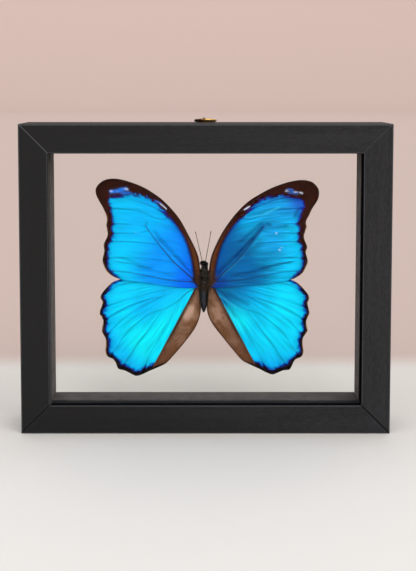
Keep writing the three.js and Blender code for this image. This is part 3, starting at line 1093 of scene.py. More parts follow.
def carry(piece: bpy.types.Object, name: str, values: np.ndarray) -> None:
    """Stores a named number, or colour, for each point of a mesh."""
    if values.ndim == 1:
        layer = piece.data.attributes.new(name, "FLOAT", "POINT")
        layer.data.foreach_set("value", values.astype(np.float32))
    else:
        layer = piece.data.attributes.new(name, "FLOAT_COLOR", "POINT")
        layer.data.foreach_set("color", values.astype(np.float32).ravel())


def curve_object(name: str, paths: Sequence[tuple[np.ndarray, np.ndarray]],
                 cyclic: bool = False) -> bpy.types.Object:
    """Makes one curve object of many poly lines.

    Args:
        name: the object's name.
        paths: for each line its points and its radius at each point, in metres.
        cyclic: joins each line's ends.

    Returns:
        The curve object.
    """
    curve = bpy.data.curves.new(name, "CURVE")
    curve.dimensions = "3D"
    for points, radii in paths:
        spline = curve.splines.new("POLY")
        spline.points.add(len(points) - 1)
        for target, place, radius in zip(spline.points, points, radii):
            target.co = (*place, 1.0)
            target.radius = radius
        spline.use_cyclic_u = cyclic
    return add_object(name, curve)


def smooth_line(points: Sequence[Sequence[float]], per_span: int,
                closed: bool = False) -> np.ndarray:
    """Draws a smooth line through points.

    Args:
        points: the points it passes through.
        per_span: how many points are made from each to the next.
        closed: joins the last point to the first.

    Returns:
        The line's points, one row each.
    """
    given = np.asarray(points, float)
    if closed:
        padded = np.vstack([given[-1], given, given[0], given[1]])
        spans = len(given)
    else:
        padded = np.vstack([2 * given[0] - given[1], given, 2 * given[-1] - given[-2]])
        spans = len(given) - 1
    share = np.arange(per_span)[:, None] / per_span
    made = []
    for i in range(spans):
        a, b, c, d = padded[i:i + 4]
        made.append(0.5 * (2 * b + (c - a) * share + (2 * a - 5 * b + 4 * c - d) * share ** 2
                           + (3 * b - a - 3 * c + d) * share ** 3))
    if not closed:
        made.append(given[-1:])
    return np.vstack(made)


def distance_to_lines(at: np.ndarray, lines: Sequence[np.ndarray],
                      closed: bool = False) -> np.ndarray:
    """Measures how far each place is from the nearest of some poly lines.

    Args:
        at: the places, one row each.
        lines: the poly lines.
        closed: joins each line's ends.

    Returns:
        One distance for each place.
    """
    best = np.full(len(at), np.inf)
    for line in lines:
        starts = line if closed else line[:-1]
        ends = np.roll(line, -1, axis=0) if closed else line[1:]
        for start, end in zip(starts, ends):
            run = end - start
            share = np.clip((at - start) @ run / max(run @ run, 1e-12), 0, 1)
            gap = np.linalg.norm(at - start - share[:, None] * run, axis=1)
            best = np.minimum(best, gap)
    return best


def inside_outline(at: np.ndarray, outline: np.ndarray) -> np.ndarray:
    """Tells which places lie inside a closed outline."""
    inside = np.zeros(len(at), bool)
    for start, end in zip(outline, np.roll(outline, -1, axis=0)):
        crosses = (start[1] > at[:, 1]) != (end[1] > at[:, 1])
        run = end[1] - start[1]
        if run == 0:
            continue
        level = start[0] + (at[:, 1] - start[1]) / run * (end[0] - start[0])
        inside ^= crosses & (at[:, 0] < level)
    return inside


def vertex_rows(mesh: bpy.types.Mesh, what: str = "co") -> np.ndarray:
    """Reads one vector for each corner of a mesh, its place unless told otherwise."""
    flat = np.empty(len(mesh.vertices) * 3)
    mesh.vertices.foreach_get(what, flat)
    return flat.reshape(-1, 3)


def node_points(node: str) -> tuple[np.ndarray, np.ndarray]:
    """Reads a solid's corners, each once, and its triangles.

    Args:
        node: the solid's name.

    Returns:
        The corners in metres and the triangles' corner numbers.
    """
    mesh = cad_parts[node].data
    places = vertex_rows(mesh)
    mesh.calc_loop_triangles()
    corners = np.empty(len(mesh.loop_triangles) * 3, int)
    mesh.loop_triangles.foreach_get("vertices", corners)
    _, first, single = np.unique(np.round(places / 1e-6).astype(int), axis=0,
                                 return_index=True, return_inverse=True)
    return places[first], single.ravel()[corners].reshape(-1, 3)


def front_outline(node: str) -> np.ndarray:
    """Follows the edge of a thin sheet's front side, the side that faces -Y.

    Args:
        node: the sheet's name.

    Returns:
        The edge's points in order, in metres.
    """
    points, triangles = node_points(node)
    a, b, c = (points[triangles[:, i]] for i in range(3))
    normal = np.cross(b - a, c - a)
    normal /= np.maximum(np.linalg.norm(normal, axis=1), 1e-15)[:, None]
    front = triangles[normal[:, 1] < -0.55]
    follows = {}
    edges = {(int(t[i]), int(t[(i + 1) % 3])) for t in front for i in range(3)}
    for start, end in edges:
        if (end, start) not in edges:
            follows[start] = end
    loops = []
    while follows:
        start, here = follows.popitem()
        loop = [start]
        while here in follows:
            loop.append(here)
            here = follows.pop(here)
        loops.append(loop)
    return points[max(loops, key=len)]


def melt(node: str, name: str, voxel: float, softness: float, rounds: int) -> bpy.types.Mesh:
    """Melts a faceted solid into one smooth closed skin.

    Args:
        node: the solid's name.
        name: the new mesh's name.
        voxel: the skin's mesh size, in mm.
        softness: how far each round of smoothing goes.
        rounds: how many rounds there are.

    Returns:
        The skin.
    """
    rough = add_mesh(node + "_rough", *node_points(node))
    blend = rough.modifiers.new("blend", "REMESH")
    blend.mode = "VOXEL"
    blend.voxel_size = voxel * MM
    soften = rough.modifiers.new("soften", "SMOOTH")
    soften.factor = softness
    soften.iterations = rounds
    depsgraph = bpy.context.evaluated_depsgraph_get()
    mesh = bpy.data.meshes.new_from_object(rough.evaluated_get(depsgraph))
    bpy.data.objects.remove(rough)
    mesh.name = name
    return mesh


# ---- The wings -----------------------------------------------------------------------------

FOREWING_VEINS = {
    "cell": [(5.2, -0.4), (8.0, 2.1), (12.5, 6.2), (17.3, 10.4), (21.4, 15.2), (25.4, 20.0),
             (29.2, 25.0), (33.2, 30.5)],
    "cell_end": [(33.2, 30.5), (32.6, 31.8), (32.0, 33.0)],
    "upper_middle": [(33.2, 30.5), (38.0, 31.0), (45.0, 31.4), (52.5, 31.8)],
    "middle": [(31.5, 28.0), (38.0, 26.6), (46.0, 26.4), (53.4, 26.1)],
    "lower_middle": [(25.4, 20.0), (30.0, 20.8), (38.0, 21.4), (46.0, 21.8), (54.6, 21.4)],
    "lower": [(17.3, 10.4), (23.0, 11.3), (31.0, 12.1), (40.0, 12.7), (48.0, 12.8), (56.0, 12.2)],
    "pleat": [(29.0, 6.5), (35.0, 7.9), (40.0, 9.2), (45.0, 9.8), (50.5, 10.8)],
    "trailing": [(5.5, -0.6), (12.0, -0.3), (20.0, 0.4), (27.0, 1.6), (34.0, 3.0), (42.0, 4.4),
                 (51.5, 5.2)],
    "upper": [(20.3, 35.4), (24.0, 34.3), (28.0, 35.2), (34.0, 37.6), (42.0, 39.5),
              (54.5, 40.2)],
    "shoulder": [(20.3, 35.4), (26.0, 39.3), (32.0, 42.3), (40.0, 44.9), (48.0, 46.3),
                 (56.5, 46.0)],
}
HINDWING_VEINS = {
    "stem": [(5.2, -4.4), (10.0, -7.0), (14.3, -11.0), (19.0, -14.1), (23.8, -16.5)],
    "lower_middle": [(23.8, -16.5), (30.0, -18.6), (37.0, -23.0), (44.0, -29.5), (49.5, -37.5),
                     (53.5, -43.0)],
    "lower": [(14.3, -11.0), (17.8, -18.5), (21.5, -26.0), (26.0, -33.5), (31.0, -42.0),
              (35.0, -51.0)],
    "branch": [(23.8, -16.5), (29.0, -24.0), (34.0, -31.0), (40.0, -39.0), (47.0, -49.5)],
    "middle": [(22.5, -5.4), (24.5, -9.2), (32.0, -13.0), (40.0, -17.5), (47.5, -23.0),
               (56.5, -32.5)],
    "upper": [(6.0, -3.8), (14.0, -4.0), (22.5, -5.4), (30.0, -6.9), (38.0, -9.2),
              (47.0, -12.2), (57.5, -15.4)],
    "upper_middle": [(24.5, -9.2), (33.0, -11.2), (42.0, -14.4), (49.0, -18.0), (57.0, -23.0)],
    "shoulder": [(9.0, -1.0), (20.0, -0.6), (32.0, -0.8), (42.5, -1.6), (49.0, -3.5),
                 (57.0, -7.6)],
}
LEFT_BLUE_FIELD = [
    (6.0, -8.0), (5.9, 0.5), (6.4, 6.0), (7.6, 13.0), (9.6, 19.8), (12.2, 25.6), (15.6, 30.6),
    (20.2, 35.9), (24.4, 40.6), (28.4, 44.4), (33.0, 46.9), (38.5, 48.2), (44.0, 48.0),
    (49.0, 46.9), (53.6, 46.4), (54.1, 44.8), (53.4, 42.0), (52.9, 39.5), (52.1, 36.0),
    (51.8, 32.5), (52.2, 29.0), (51.8, 25.4), (52.9, 22.6), (54.2, 20.2), (54.3, 17.4),
    (54.5, 14.0), (54.8, 11.0), (54.4, 7.8), (53.2, 5.2), (51.3, 3.0), (48.5, 1.0), (46.0, -8.0),
]
RIGHT_BLUE_FIELD = [
    (6.0, -8.0), (5.4, 0.5), (5.7, 5.0), (6.8, 11.0), (8.6, 17.6), (11.5, 24.0), (15.5, 30.0),
    (19.6, 34.5), (23.0, 38.0), (27.5, 42.0), (32.0, 44.9), (38.0, 46.6), (44.0, 47.5),
    (49.0, 46.6), (54.0, 45.3), (55.6, 43.0), (55.4, 40.5), (54.2, 37.6), (53.2, 34.5),
    (52.2, 31.5), (53.2, 28.5), (52.9, 25.0), (52.9, 21.8), (54.5, 19.6), (54.4, 16.5),
    (55.0, 13.4), (55.4, 9.8), (54.4, 6.8), (53.1, 4.4), (50.6, 2.2), (49.0, 0.6), (46.0, -8.0),
]
INNER_FOLD = ((6.3, -5.5), (29.8, -49.5))


class Side(Enum):
    """Left or right, as seen from the front."""

    LEFT = -1
    RIGHT = 1


@dataclass(frozen=True)
class Tone:
    """A soft patch of another blue along a line, in mm, partly the wing's own blue and partly
    painted light and shade.
    """

    start: Point2
    end: Point2
    half_width: float
    colour: Colour


@dataclass(frozen=True)
class Shading:
    """How a wing's blue runs from one colour near the body to another further out.

    The run begins at `begins` mm, takes `length` mm and leans inward by `lean` mm for each
    mm of height. The tones lie over it. Run and tones are partly the wing's own blue and partly
    painted light and shade: the brighter and darker blues that the iridescent scales show at
    their angle to the light are painted in, so the left and right wings differ.
    """

    near: Colour
    far: Colour
    begins: float
    length: float
    lean: float
    tones: tuple[Tone, ...]

    def paint(self, at: np.ndarray) -> np.ndarray:
        """Gives the blue at each place, one colour for each row."""
        run = np.clip((at[:, :1] + self.lean * at[:, 1:] - self.begins) / self.length, 0, 1)
        colour = (1 - run) * np.array(self.near) + run * np.array(self.far)
        for tone in self.tones:
            gap = distance_to_lines(at, [np.array([tone.start, tone.end])])
            share = np.exp(-(gap / tone.half_width) ** 2)[:, None]
            colour += share * (np.array(tone.colour) - colour)
        return colour


@dataclass(frozen=True)
class Mark:
    """A short streak, or a dot when both ends are one place, in mm."""

    start: Point2
    end: Point2
    half_width: float
    strength: float = 1.0


# Kinds of mark: glow and spark are painted glints, shade is painted shade, lit is painted highlight,
# pale is a pale patch.
MARK_KINDS = ("painted_glint", "painted_sparkle", "shade", "lit", "pale")


def dot(out: float, up: float, radius: float, strength: float = 1.0) -> Mark:
    """Makes a round mark."""
    return Mark((out, up), (out, up), radius, strength)


def forewing_surface(out: np.ndarray, up: np.ndarray) -> np.ndarray:
    """Gives how far back the forewing stands behind the wings' plane, in mm."""
    return -0.7 + 2.0 * (out / 60) ** 2 - 0.6 * np.sin(np.pi * up / 60)


def past_fold(out: np.ndarray, up: np.ndarray) -> np.ndarray:
    """Gives how far a place of the hindwing lies inside its inner fold, in mm."""
    (from_out, from_up), (to_out, to_up) = INNER_FOLD
    run = np.array([to_out - from_out, to_up - from_up])
    return ((out - from_out) * run[1] - (up - from_up) * run[0]) / np.hypot(*run)


def hindwing_surface(out: np.ndarray, up: np.ndarray) -> np.ndarray:
    """Gives how far back the hindwing stands behind the wings' plane, in mm."""
    inside = np.maximum(0, past_fold(out, up))
    return 0.7 + 1.5 * (np.hypot(out, up) / 60) ** 2 + 0.42 * inside ** 2 / (inside + 4)


def forewing_lane(out: np.ndarray, up: np.ndarray) -> np.ndarray:
    """Gives the place across the forewing's rows of scales, in mm, level near its outer edge."""
    bend, outer = 5.0, 50.0
    return (up + 0.5) * (bend + out) / out * outer / (bend + outer)


def hindwing_lane(out: np.ndarray, up: np.ndarray) -> np.ndarray:
    """Gives the place across the hindwing's rows of scales, in mm, which fan from its root."""
    centre, outer = (8.0, 0.0), 50.0
    return np.arctan2(up - centre[1], np.maximum(out - centre[0], -up * 0.2)) * outer


@dataclass
class Wing:
    """One wing: a thin two-sided sheet with its pattern, and the veins that stiffen it.

    Wing places are in mm outward and up from where the wings meet the body. The hub is the
    middle of the sheet's net of faces, and the root is where its rows of scales begin. Tuck,
    swell, shift, stretch and level seat the sheet a little off its solid.
    """

    node: str
    side: Side
    hub: Point2
    root: Point2
    surface: Callable[[np.ndarray, np.ndarray], np.ndarray]
    lane: Callable[[np.ndarray, np.ndarray], np.ndarray]
    veins: dict[str, list[Point2]]
    vein_radii: dict[str, float]
    shading: Shading
    upper: UpperScales
    eyespots: list[tuple[float, float, float]]
    marks: dict[str, list[Mark]]
    blue_field: list[Point2] | None = None
    crease: list[Point2] | None = None
    margin: float = 1.6
    tuck: float = 1.3
    swell: float = 0.6
    shift: float = 0.2
    stretch: float = 1.015
    level: float = 3.0
    thickness: float = 0.3
    pleat_depth: float = 0.28
    pleat_width: float = 2.2
    crease_depth: float = 0.55
    crease_width: float = 1.1
    thin_vein: float = 0.14
    vein_taper: float = 0.6
    rings: int = 46
    rim_steps: int = 4

    def outline(self) -> np.ndarray:
        """Gives the wing's smooth outline in wing places, from its solid."""
        points = front_outline(self.node) / MM
        flat = np.column_stack([self.side.value * (points[:, 0] - SPECIMEN_AT[0]),
                                points[:, 2] - SPECIMEN_AT[2]])
        smooth = smooth_line(flat, self.rim_steps, closed=True)
        out, up = smooth[:, 0].copy(), smooth[:, 1].copy()
        # The hidden inner edge is tucked in beside the body, and the leading edge filled out.
        beside = np.clip((5.0 - out) / 1.6, 0, 1) * np.clip((up + 13.0) / 3.0, 0, 1)
        smooth[:, 0] -= self.tuck * beside * np.clip((6.0 - up) / 3.0, 0, 1)
        leading = np.clip((30.0 - out) / 14.0, 0, 1) * np.clip((up - 5.0) / 8.0, 0, 1)
        above = np.clip((up - 1.05 * out - 3.0) / 3.0, 0, 1)
        smooth += np.outer(leading * above, (-self.swell, 0.9 * self.swell))
        return smooth

    def lines(self) -> dict[str, np.ndarray]:
        """Gives the veins as smooth lines."""
        return {name: smooth_line(points, 8) for name, points in self.veins.items()}

    def seat(self, at: np.ndarray, height: np.ndarray) -> np.ndarray:
        """Puts wing places where they belong on the specimen.

        Args:
            at: wing places, in mm outward and up.
            height: how far back each place stands, in mm.

        Returns:
            The points, in metres.
        """
        return np.column_stack([
            SPECIMEN_AT[0] + self.shift + self.side.value * at[:, 0], SPECIMEN_AT[1] + height,
            SPECIMEN_AT[2] + self.level + (at[:, 1] - self.level) * self.stretch]) * MM

    def lift(self, at: np.ndarray, vein: np.ndarray) -> np.ndarray:
        """Gives the sheet's middle height, with its pleats and crease.

        Args:
            at: wing places, in mm.
            vein: each place's distance from the nearest vein.

        Returns:
            How far back each place stands, in mm.
        """
        height = self.surface(at[:, 0], at[:, 1])
        height = height + self.pleat_depth * (1 - np.exp(-vein / self.pleat_width))
        if self.crease is not None:
            gap = distance_to_lines(at, [smooth_line(self.crease, 6)])
            height = height + self.crease_depth * np.exp(-(gap / self.crease_width) ** 2)
        return height

    def sheet(self) -> tuple[np.ndarray, np.ndarray, list[tuple[int, ...]]]:
        """Makes the flat net that both sides share.

        Returns:
            The outline, the net's places, and its faces for the right-hand side's front.
        """
        outline = self.outline()
        count = len(outline)
        hub = np.array(self.hub)
        shares = 1 - (np.arange(self.rings) / self.rings) ** 1.08
        places = np.vstack([hub + (outline - hub) * share for share in shares] + [hub])
        faces: list[tuple[int, ...]] = []
        for ring in range(self.rings - 1):
            for i in range(count):
                j = (i + 1) % count
                outer, inner = ring * count, (ring + 1) * count
                faces.append((outer + i, inner + i, inner + j, outer + j))
        last = (self.rings - 1) * count
        faces += [(last + i, self.rings * count, last + (i + 1) % count) for i in range(count)]
        return outline, places, faces

    def build(self) -> bpy.types.Object:
        """Makes the two-sided sheet and stores what its pattern needs.

        Returns:
            The wing.
        """
        outline, places, faces = self.sheet()
        clockwise = np.sum(outline[:, 0] * np.roll(outline[:, 1], -1)
                           - np.roll(outline[:, 0], -1) * outline[:, 1]) < 0
        flip = clockwise == (self.side is Side.LEFT)
        count, total = len(outline), len(places)
        vein = distance_to_lines(places, list(self.lines().values()))
        rim = distance_to_lines(places, [outline], closed=True)
        height = self.lift(places, vein)
        thick = self.thickness * np.clip(0.35 + rim / 0.8, 0, 1)
        points = [self.seat(places, height + face * thick) for face in (-0.5, 0.5)]
        front = [f[::-1] if flip else f for f in faces]
        back = [tuple(i + total for i in f[::-1]) for f in front]
        wall = []
        for i in range(count):
            j = (i + 1) % count
            quad = (i, j, j + total, i + total)
            wall.append(quad[::-1] if flip else quad)
        piece = add_mesh(self.node + "_scaled", np.vstack(points), front + back + wall)
        self._mark(piece, places, rim, vein)
        for finish in (self.upper, UnderScales(self.node + " underside")):
            piece.data.materials.append(finish.make())
        slots = np.zeros(len(piece.data.polygons), np.int32)
        slots[len(front):len(front) + len(back)] = 1
        piece.data.polygons.foreach_set("material_index", slots)
        return piece

    def _mark(self, piece: bpy.types.Object, at: np.ndarray, rim: np.ndarray,
              vein: np.ndarray) -> None:
        """Stores the pattern's numbers on both sides of the sheet."""
        away = at - np.array(self.root)
        out, up = at[:, 0], at[:, 1]
        values = {
            "rim": rim,
            "vein": vein,
            "reach": np.hypot(*away.T),
            "lane": self.lane(out, up),
            "past_fold": past_fold(out, up) if self.surface is hindwing_surface else rim * 0,
            "field": self._field(at, rim),
            **{kind: self._marks(at, self.marks.get(kind, [])) for kind in MARK_KINDS},
            "fringe": self._fringe(at, rim, vein),
            "hairy": np.clip(1.3 - np.hypot((out - 3.4) / 2.9, (up - 1.2) / 5.2), 0, 1),
            "eyespot": self._eyespots(at),
            "blue_with_painted_light": self.shading.paint(at),
        }
        for name, value in values.items():
            carry(piece, name, np.concatenate([value, value]))

    def _field(self, at: np.ndarray, rim: np.ndarray) -> np.ndarray:
        """Gives how far each place lies inside the blue, in mm."""
        if self.blue_field is None:
            # The border is widest at the wing's outer corner and slightly wider at its foot.
            outer = np.maximum((at[:, 0] - 47) / 5, (-at[:, 1] - 42) / 4)
            high = np.clip((3 - at[:, 1]) / 14, 0.25, 1)
            margin = 0.3 + self.margin * np.clip(outer, 0, 1) * high
            return rim - margin - 0.7 * np.clip((-at[:, 1] - 40) / 6, 0, 1)
        line = smooth_line(self.blue_field, 4, closed=True)
        gap = distance_to_lines(at, [line], closed=True)
        return np.where(inside_outline(at, line), gap, -gap)

    @staticmethod
    def _marks(at: np.ndarray, marks: Sequence[Mark]) -> np.ndarray:
        """Gives how strongly the marks of one kind show at each place."""
        shown = np.zeros(len(at))
        for mark in marks:
            gap = distance_to_lines(at, [np.array([mark.start, mark.end])])
            shown = np.maximum(shown, mark.strength * np.exp(-(gap / mark.half_width) ** 3))
        return shown

    @staticmethod
    def _fringe(at: np.ndarray, rim: np.ndarray, vein: np.ndarray) -> np.ndarray:
        """Gives where pale fringe shows: along the outer edge, in the notches between veins."""
        outer = np.clip((at[:, 0] - 50) / 4, 0, 1) * np.clip(42 - at[:, 1], 0, 1)
        return np.clip(1.2 - rim / 0.5, 0, 1) * outer * np.clip((vein - 1.6) / 1.0, 0, 1)

    def _eyespots(self, at: np.ndarray) -> np.ndarray:
        """Gives each place's distance from the nearest eyespot, 1 at its outer ring."""
        nearest = np.full(len(at), 9.0)
        for out, up, radius in self.eyespots:
            nearest = np.minimum(nearest, np.hypot(at[:, 0] - out, at[:, 1] - up) / radius)
        return nearest

    def build_veins(self, finish: VeinSkin) -> bpy.types.Object:
        """Makes the veins as slim tubes that swell the sheet on both sides.

        Args:
            finish: the veins' finish.

        Returns:
            The wing's net of veins.
        """
        lines = self.lines()
        stiff = list(lines.values())
        paths = []
        for name, line in lines.items():
            gap = distance_to_lines(line, stiff)
            height = self.lift(line, gap)
            points = self.seat(line, height)
            radius = self.vein_radii.get(name, self.thin_vein)
            taper = np.linspace(1.0, self.vein_taper, len(line))
            paths.append((points, radius * taper * MM))
        tree = sweep_tree(finish.make(), 8)
        return tree.run(curve_object("vein lines", paths), self.node + "_veins",
                        {"Thickness": 1.0})

    def build_fur(self, sheet: bpy.types.Object) -> bpy.types.Object:
        """Sets the tangled brown hair over the wing's base, leaning outward."""
        label = self.side.name.lower()
        coat = Fur(9.0e6, 1.9, 0.05, (0.9 * self.side.value, -0.2, 0.15), seed=11)
        return coat.grow(sheet, f"{label}_wing_fur",
                         Hair(f"{label} wing hair", srgb(30, 20, 14), srgb(124, 96, 70)))


# Each wing's blue is partly its own colour and partly painted light: the brighter and darker blues
# that the iridescent scales show at their angle to the light, so left and right differ. The dark
# patch near the right forewing's root is painted shade.
FOREWING_SHADING = {
    Side.LEFT: Shading(srgb(0, 100, 245), srgb(0, 205, 255), 13.5, 29.5, 0.0, (
        Tone((22.5, 42.5), (38, 31), 14, srgb(0, 185, 255)),
        Tone((28.5, 4), (19.5, 16.5), 10.5, srgb(0, 150, 255)))),
    Side.RIGHT: Shading(srgb(5, 45, 145), srgb(0, 205, 255), 10.5, 36.5, 0.15, (
        Tone((23, 33), (43.5, 37.5), 5, srgb(0, 175, 235)),
        Tone((39, 18.5), (35, 51), 9.5, srgb(15, 155, 220)),
        Tone((15, 13.5), (25, 3), 13.5, srgb(0, 95, 160)),
        Tone((52.5, 45), (53, 43), 8.5, srgb(30, 100, 210)))),
}
# As for the forewings, partly painted light; the dark patch near the right hindwing's root is
# painted shade.
HINDWING_SHADING = {
    Side.LEFT: Shading(srgb(0, 210, 255), srgb(0, 200, 255), 60, 10, -0.75, (
        Tone((24.5, -21.5), (37, -35.5), 14, srgb(0, 235, 255)),
        Tone((19.5, -3.5), (34, -15.5), 9.5, srgb(0, 190, 255)),
        Tone((61, -27), (38, -52), 5.5, srgb(0, 195, 255)))),
    Side.RIGHT: Shading(srgb(0, 95, 205), srgb(0, 215, 255), 12, 34.5, -0.4, (
        Tone((13.5, -19.5), (19.5, -23.5), 7.5, srgb(0, 230, 250)),
        Tone((6, -7.5), (12.5, -5), 10.5, srgb(0, 115, 170)),
        Tone((30, -51.5), (55, -49.5), 9, srgb(0, 180, 250)))),
}
# The glow and spark marks are painted glints; the shade and lit marks are painted shade and painted
# highlights along the creases, pleats and veins.
FOREWING_MARKS = {
    Side.LEFT: {
        "painted_sparkle": [dot(52.4, 49.6, 0.56), dot(43.4, 50.9, 0.55),
                  Mark((44.4, 50.7), (45.8, 50.6), 0.18, 0.6), dot(49.2, 49.9, 0.2, 0.5),
                  Mark((21.6, 40.1), (24.8, 42.7), 0.26), dot(26.2, 43.6, 0.22, 0.5),
                  dot(38.7, 26.9, 0.36, 0.3)],
        "painted_glint": [Mark((43.8, 51.0), (48.0, 50.4), 0.8), Mark((46.0, 50.0), (52.4, 49.3), 0.95),
                 Mark((41.6, 48.7), (46.4, 48.5), 0.6, 0.85),
                 Mark((43.2, 50.4), (44.4, 50.0), 0.5, 0.5),
                 Mark((24.4, 42.9), (27.4, 44.3), 0.4, 0.7)],
        "shade": [Mark((12.0, 9.0), (28.5, 26.5), 1.3, 0.35),
                  Mark((43.0, 47.6), (53.0, 47.0), 0.7, 0.6),
                  Mark((20.0, 3.6), (38.0, 7.8), 0.5, 0.25),
                  Mark((36.0, 9.4), (46.5, 12.4), 0.4, 0.55),
                  Mark((7.9, 4.7), (26.0, 22.8), 0.34, 0.8)],
    },
    Side.RIGHT: {
        "painted_sparkle": [dot(46.0, 49.7, 0.6), Mark((49.6, 49.3), (52.0, 48.9), 0.16, 0.7),
                  Mark((52.8, 48.8), (54.8, 48.5), 0.26, 0.9),
                  Mark((22.2, 39.6), (25.0, 41.4), 0.32), dot(40.0, 26.4, 0.42, 0.8),
                  dot(42.0, 17.0, 0.42, 0.9), dot(43.0, 18.4, 0.3, 0.5)],
        "painted_glint": [Mark((46.6, 50.6), (49.0, 50.0), 0.7, 0.6),
                 Mark((48.0, 48.9), (51.6, 48.4), 0.7, 0.55), dot(47.2, 49.0, 0.6, 0.7)],
        "shade": [Mark((8.0, 5.0), (17.5, 13.9), 0.9, 0.75),
                  Mark((17.5, 13.9), (26.0, 22.8), 1.3, 0.95),
                  Mark((26.0, 22.8), (32.4, 30.0), 1.4, 1.0),
                  Mark((20.0, 22.0), (31.5, 31.5), 1.3, 0.6),
                  Mark((34.4, 31.6), (36.6, 31.2), 0.9, 0.8),
                  Mark((50.6, 36.0), (52.4, 39.6), 1.2, 0.6),
                  Mark((24.0, 15.0), (31.0, 21.0), 1.9, 0.3),
                  Mark((15.0, 2.6), (36.0, 7.0), 0.8, 0.5),
                  Mark((30.8, 6.7), (48.5, 10.3), 0.5, 0.75),
                  Mark((33.0, 29.0), (46.0, 30.5), 0.9, 0.5),
                  Mark((44.0, 46.0), (54.0, 45.0), 1.0, 0.5),
                  Mark((24.0, 35.5), (33.0, 38.0), 0.6, 0.3)],
        "lit": [Mark((26.0, 18.2), (32.6, 27.2), 0.18, 0.35),
                Mark((33.0, 37.0), (41.5, 40.8), 0.45, 0.75),
                Mark((24.0, 34.9), (33.0, 36.9), 0.35, 0.6),
                Mark((9.0, 2.2), (22.0, 14.0), 0.2, 0.4),
                Mark((20.0, 34.2), (23.0, 36.0), 0.5, 0.6)],
    },
}
# The right hindwing's shade and lit marks are painted shade near the root and painted highlights
# beside its veins.
HINDWING_MARKS = {
    Side.LEFT: {"pale": [Mark((8.2, -16.5), (10.2, -20.5), 2.6, 0.95)]},
    Side.RIGHT: {
        "shade": [Mark((6.0, -5.0), (24.0, -13.0), 1.6, 0.5),
                  Mark((9.0, -9.5), (17.0, -20.0), 1.0, 0.55)],
        "lit": [Mark((8.0, -8.5), (21.0, -17.5), 0.25, 0.5),
                Mark((11.0, -14.0), (20.0, -28.0), 0.4, 0.55)],
        "pale": [Mark((5.8, -17.6), (7.5, -20.8), 1.9, 0.42)],
    },
}
BLUE_FIELDS = {Side.LEFT: LEFT_BLUE_FIELD, Side.RIGHT: RIGHT_BLUE_FIELD}
CREASES = {
    Side.LEFT: [(12, 8), (18, 15.5), (24, 21.5), (29, 27)],
    Side.RIGHT: [(9, 6), (17, 15), (25, 24), (32.5, 32)],
}
FOREWING_STREAKS = {Side.LEFT: 0.15, Side.RIGHT: 0.25}


def make_hindwing(side: Side) -> Wing:
    """Describes a hindwing, with its bare brown part inside the fold."""
    scales = HindScales(
        f"{side.name.lower()} hindwing scales", border=srgb(8, 3, 2), border_light=srgb(24, 9, 4),
        violet=srgb(0, 44, 176), vein_shade=0.42, streaks=0.22)
    return Wing(
        node=f"{side.name.lower()}_hindwing", side=side, hub=(30, -22), root=(3.5, -3.0),
        surface=hindwing_surface, lane=hindwing_lane, veins=HINDWING_VEINS,
        vein_radii={"stem": 0.2}, shading=HINDWING_SHADING[side], upper=scales,
        eyespots=[(47, -12, 3.4), (45, -24, 3.0), (43, -35, 3.2), (34, -42, 2.6)],
        marks=HINDWING_MARKS[side])


def make_forewing(side: Side) -> Wing:
    """Describes a forewing, with the crease along its cell."""
    scales = UpperScales(f"{side.name.lower()} forewing scales", streaks=FOREWING_STREAKS[side])
    return Wing(
        node=f"{side.name.lower()}_forewing", side=side, hub=(36, 25), root=(3.5, -0.5),
        surface=forewing_surface, lane=forewing_lane, veins=FOREWING_VEINS,
        vein_radii={"cell": 0.34, "cell_end": 0.2, "trailing": 0.24, "pleat": 0.11},
        shading=FOREWING_SHADING[side], upper=scales,
        eyespots=[(45, 40, 2.6), (46, 28, 3.0), (46, 17, 2.8)], marks=FOREWING_MARKS[side],
        blue_field=BLUE_FIELDS[side], crease=CREASES[side])


# ---- The body ------------------------------------------------------------------------------


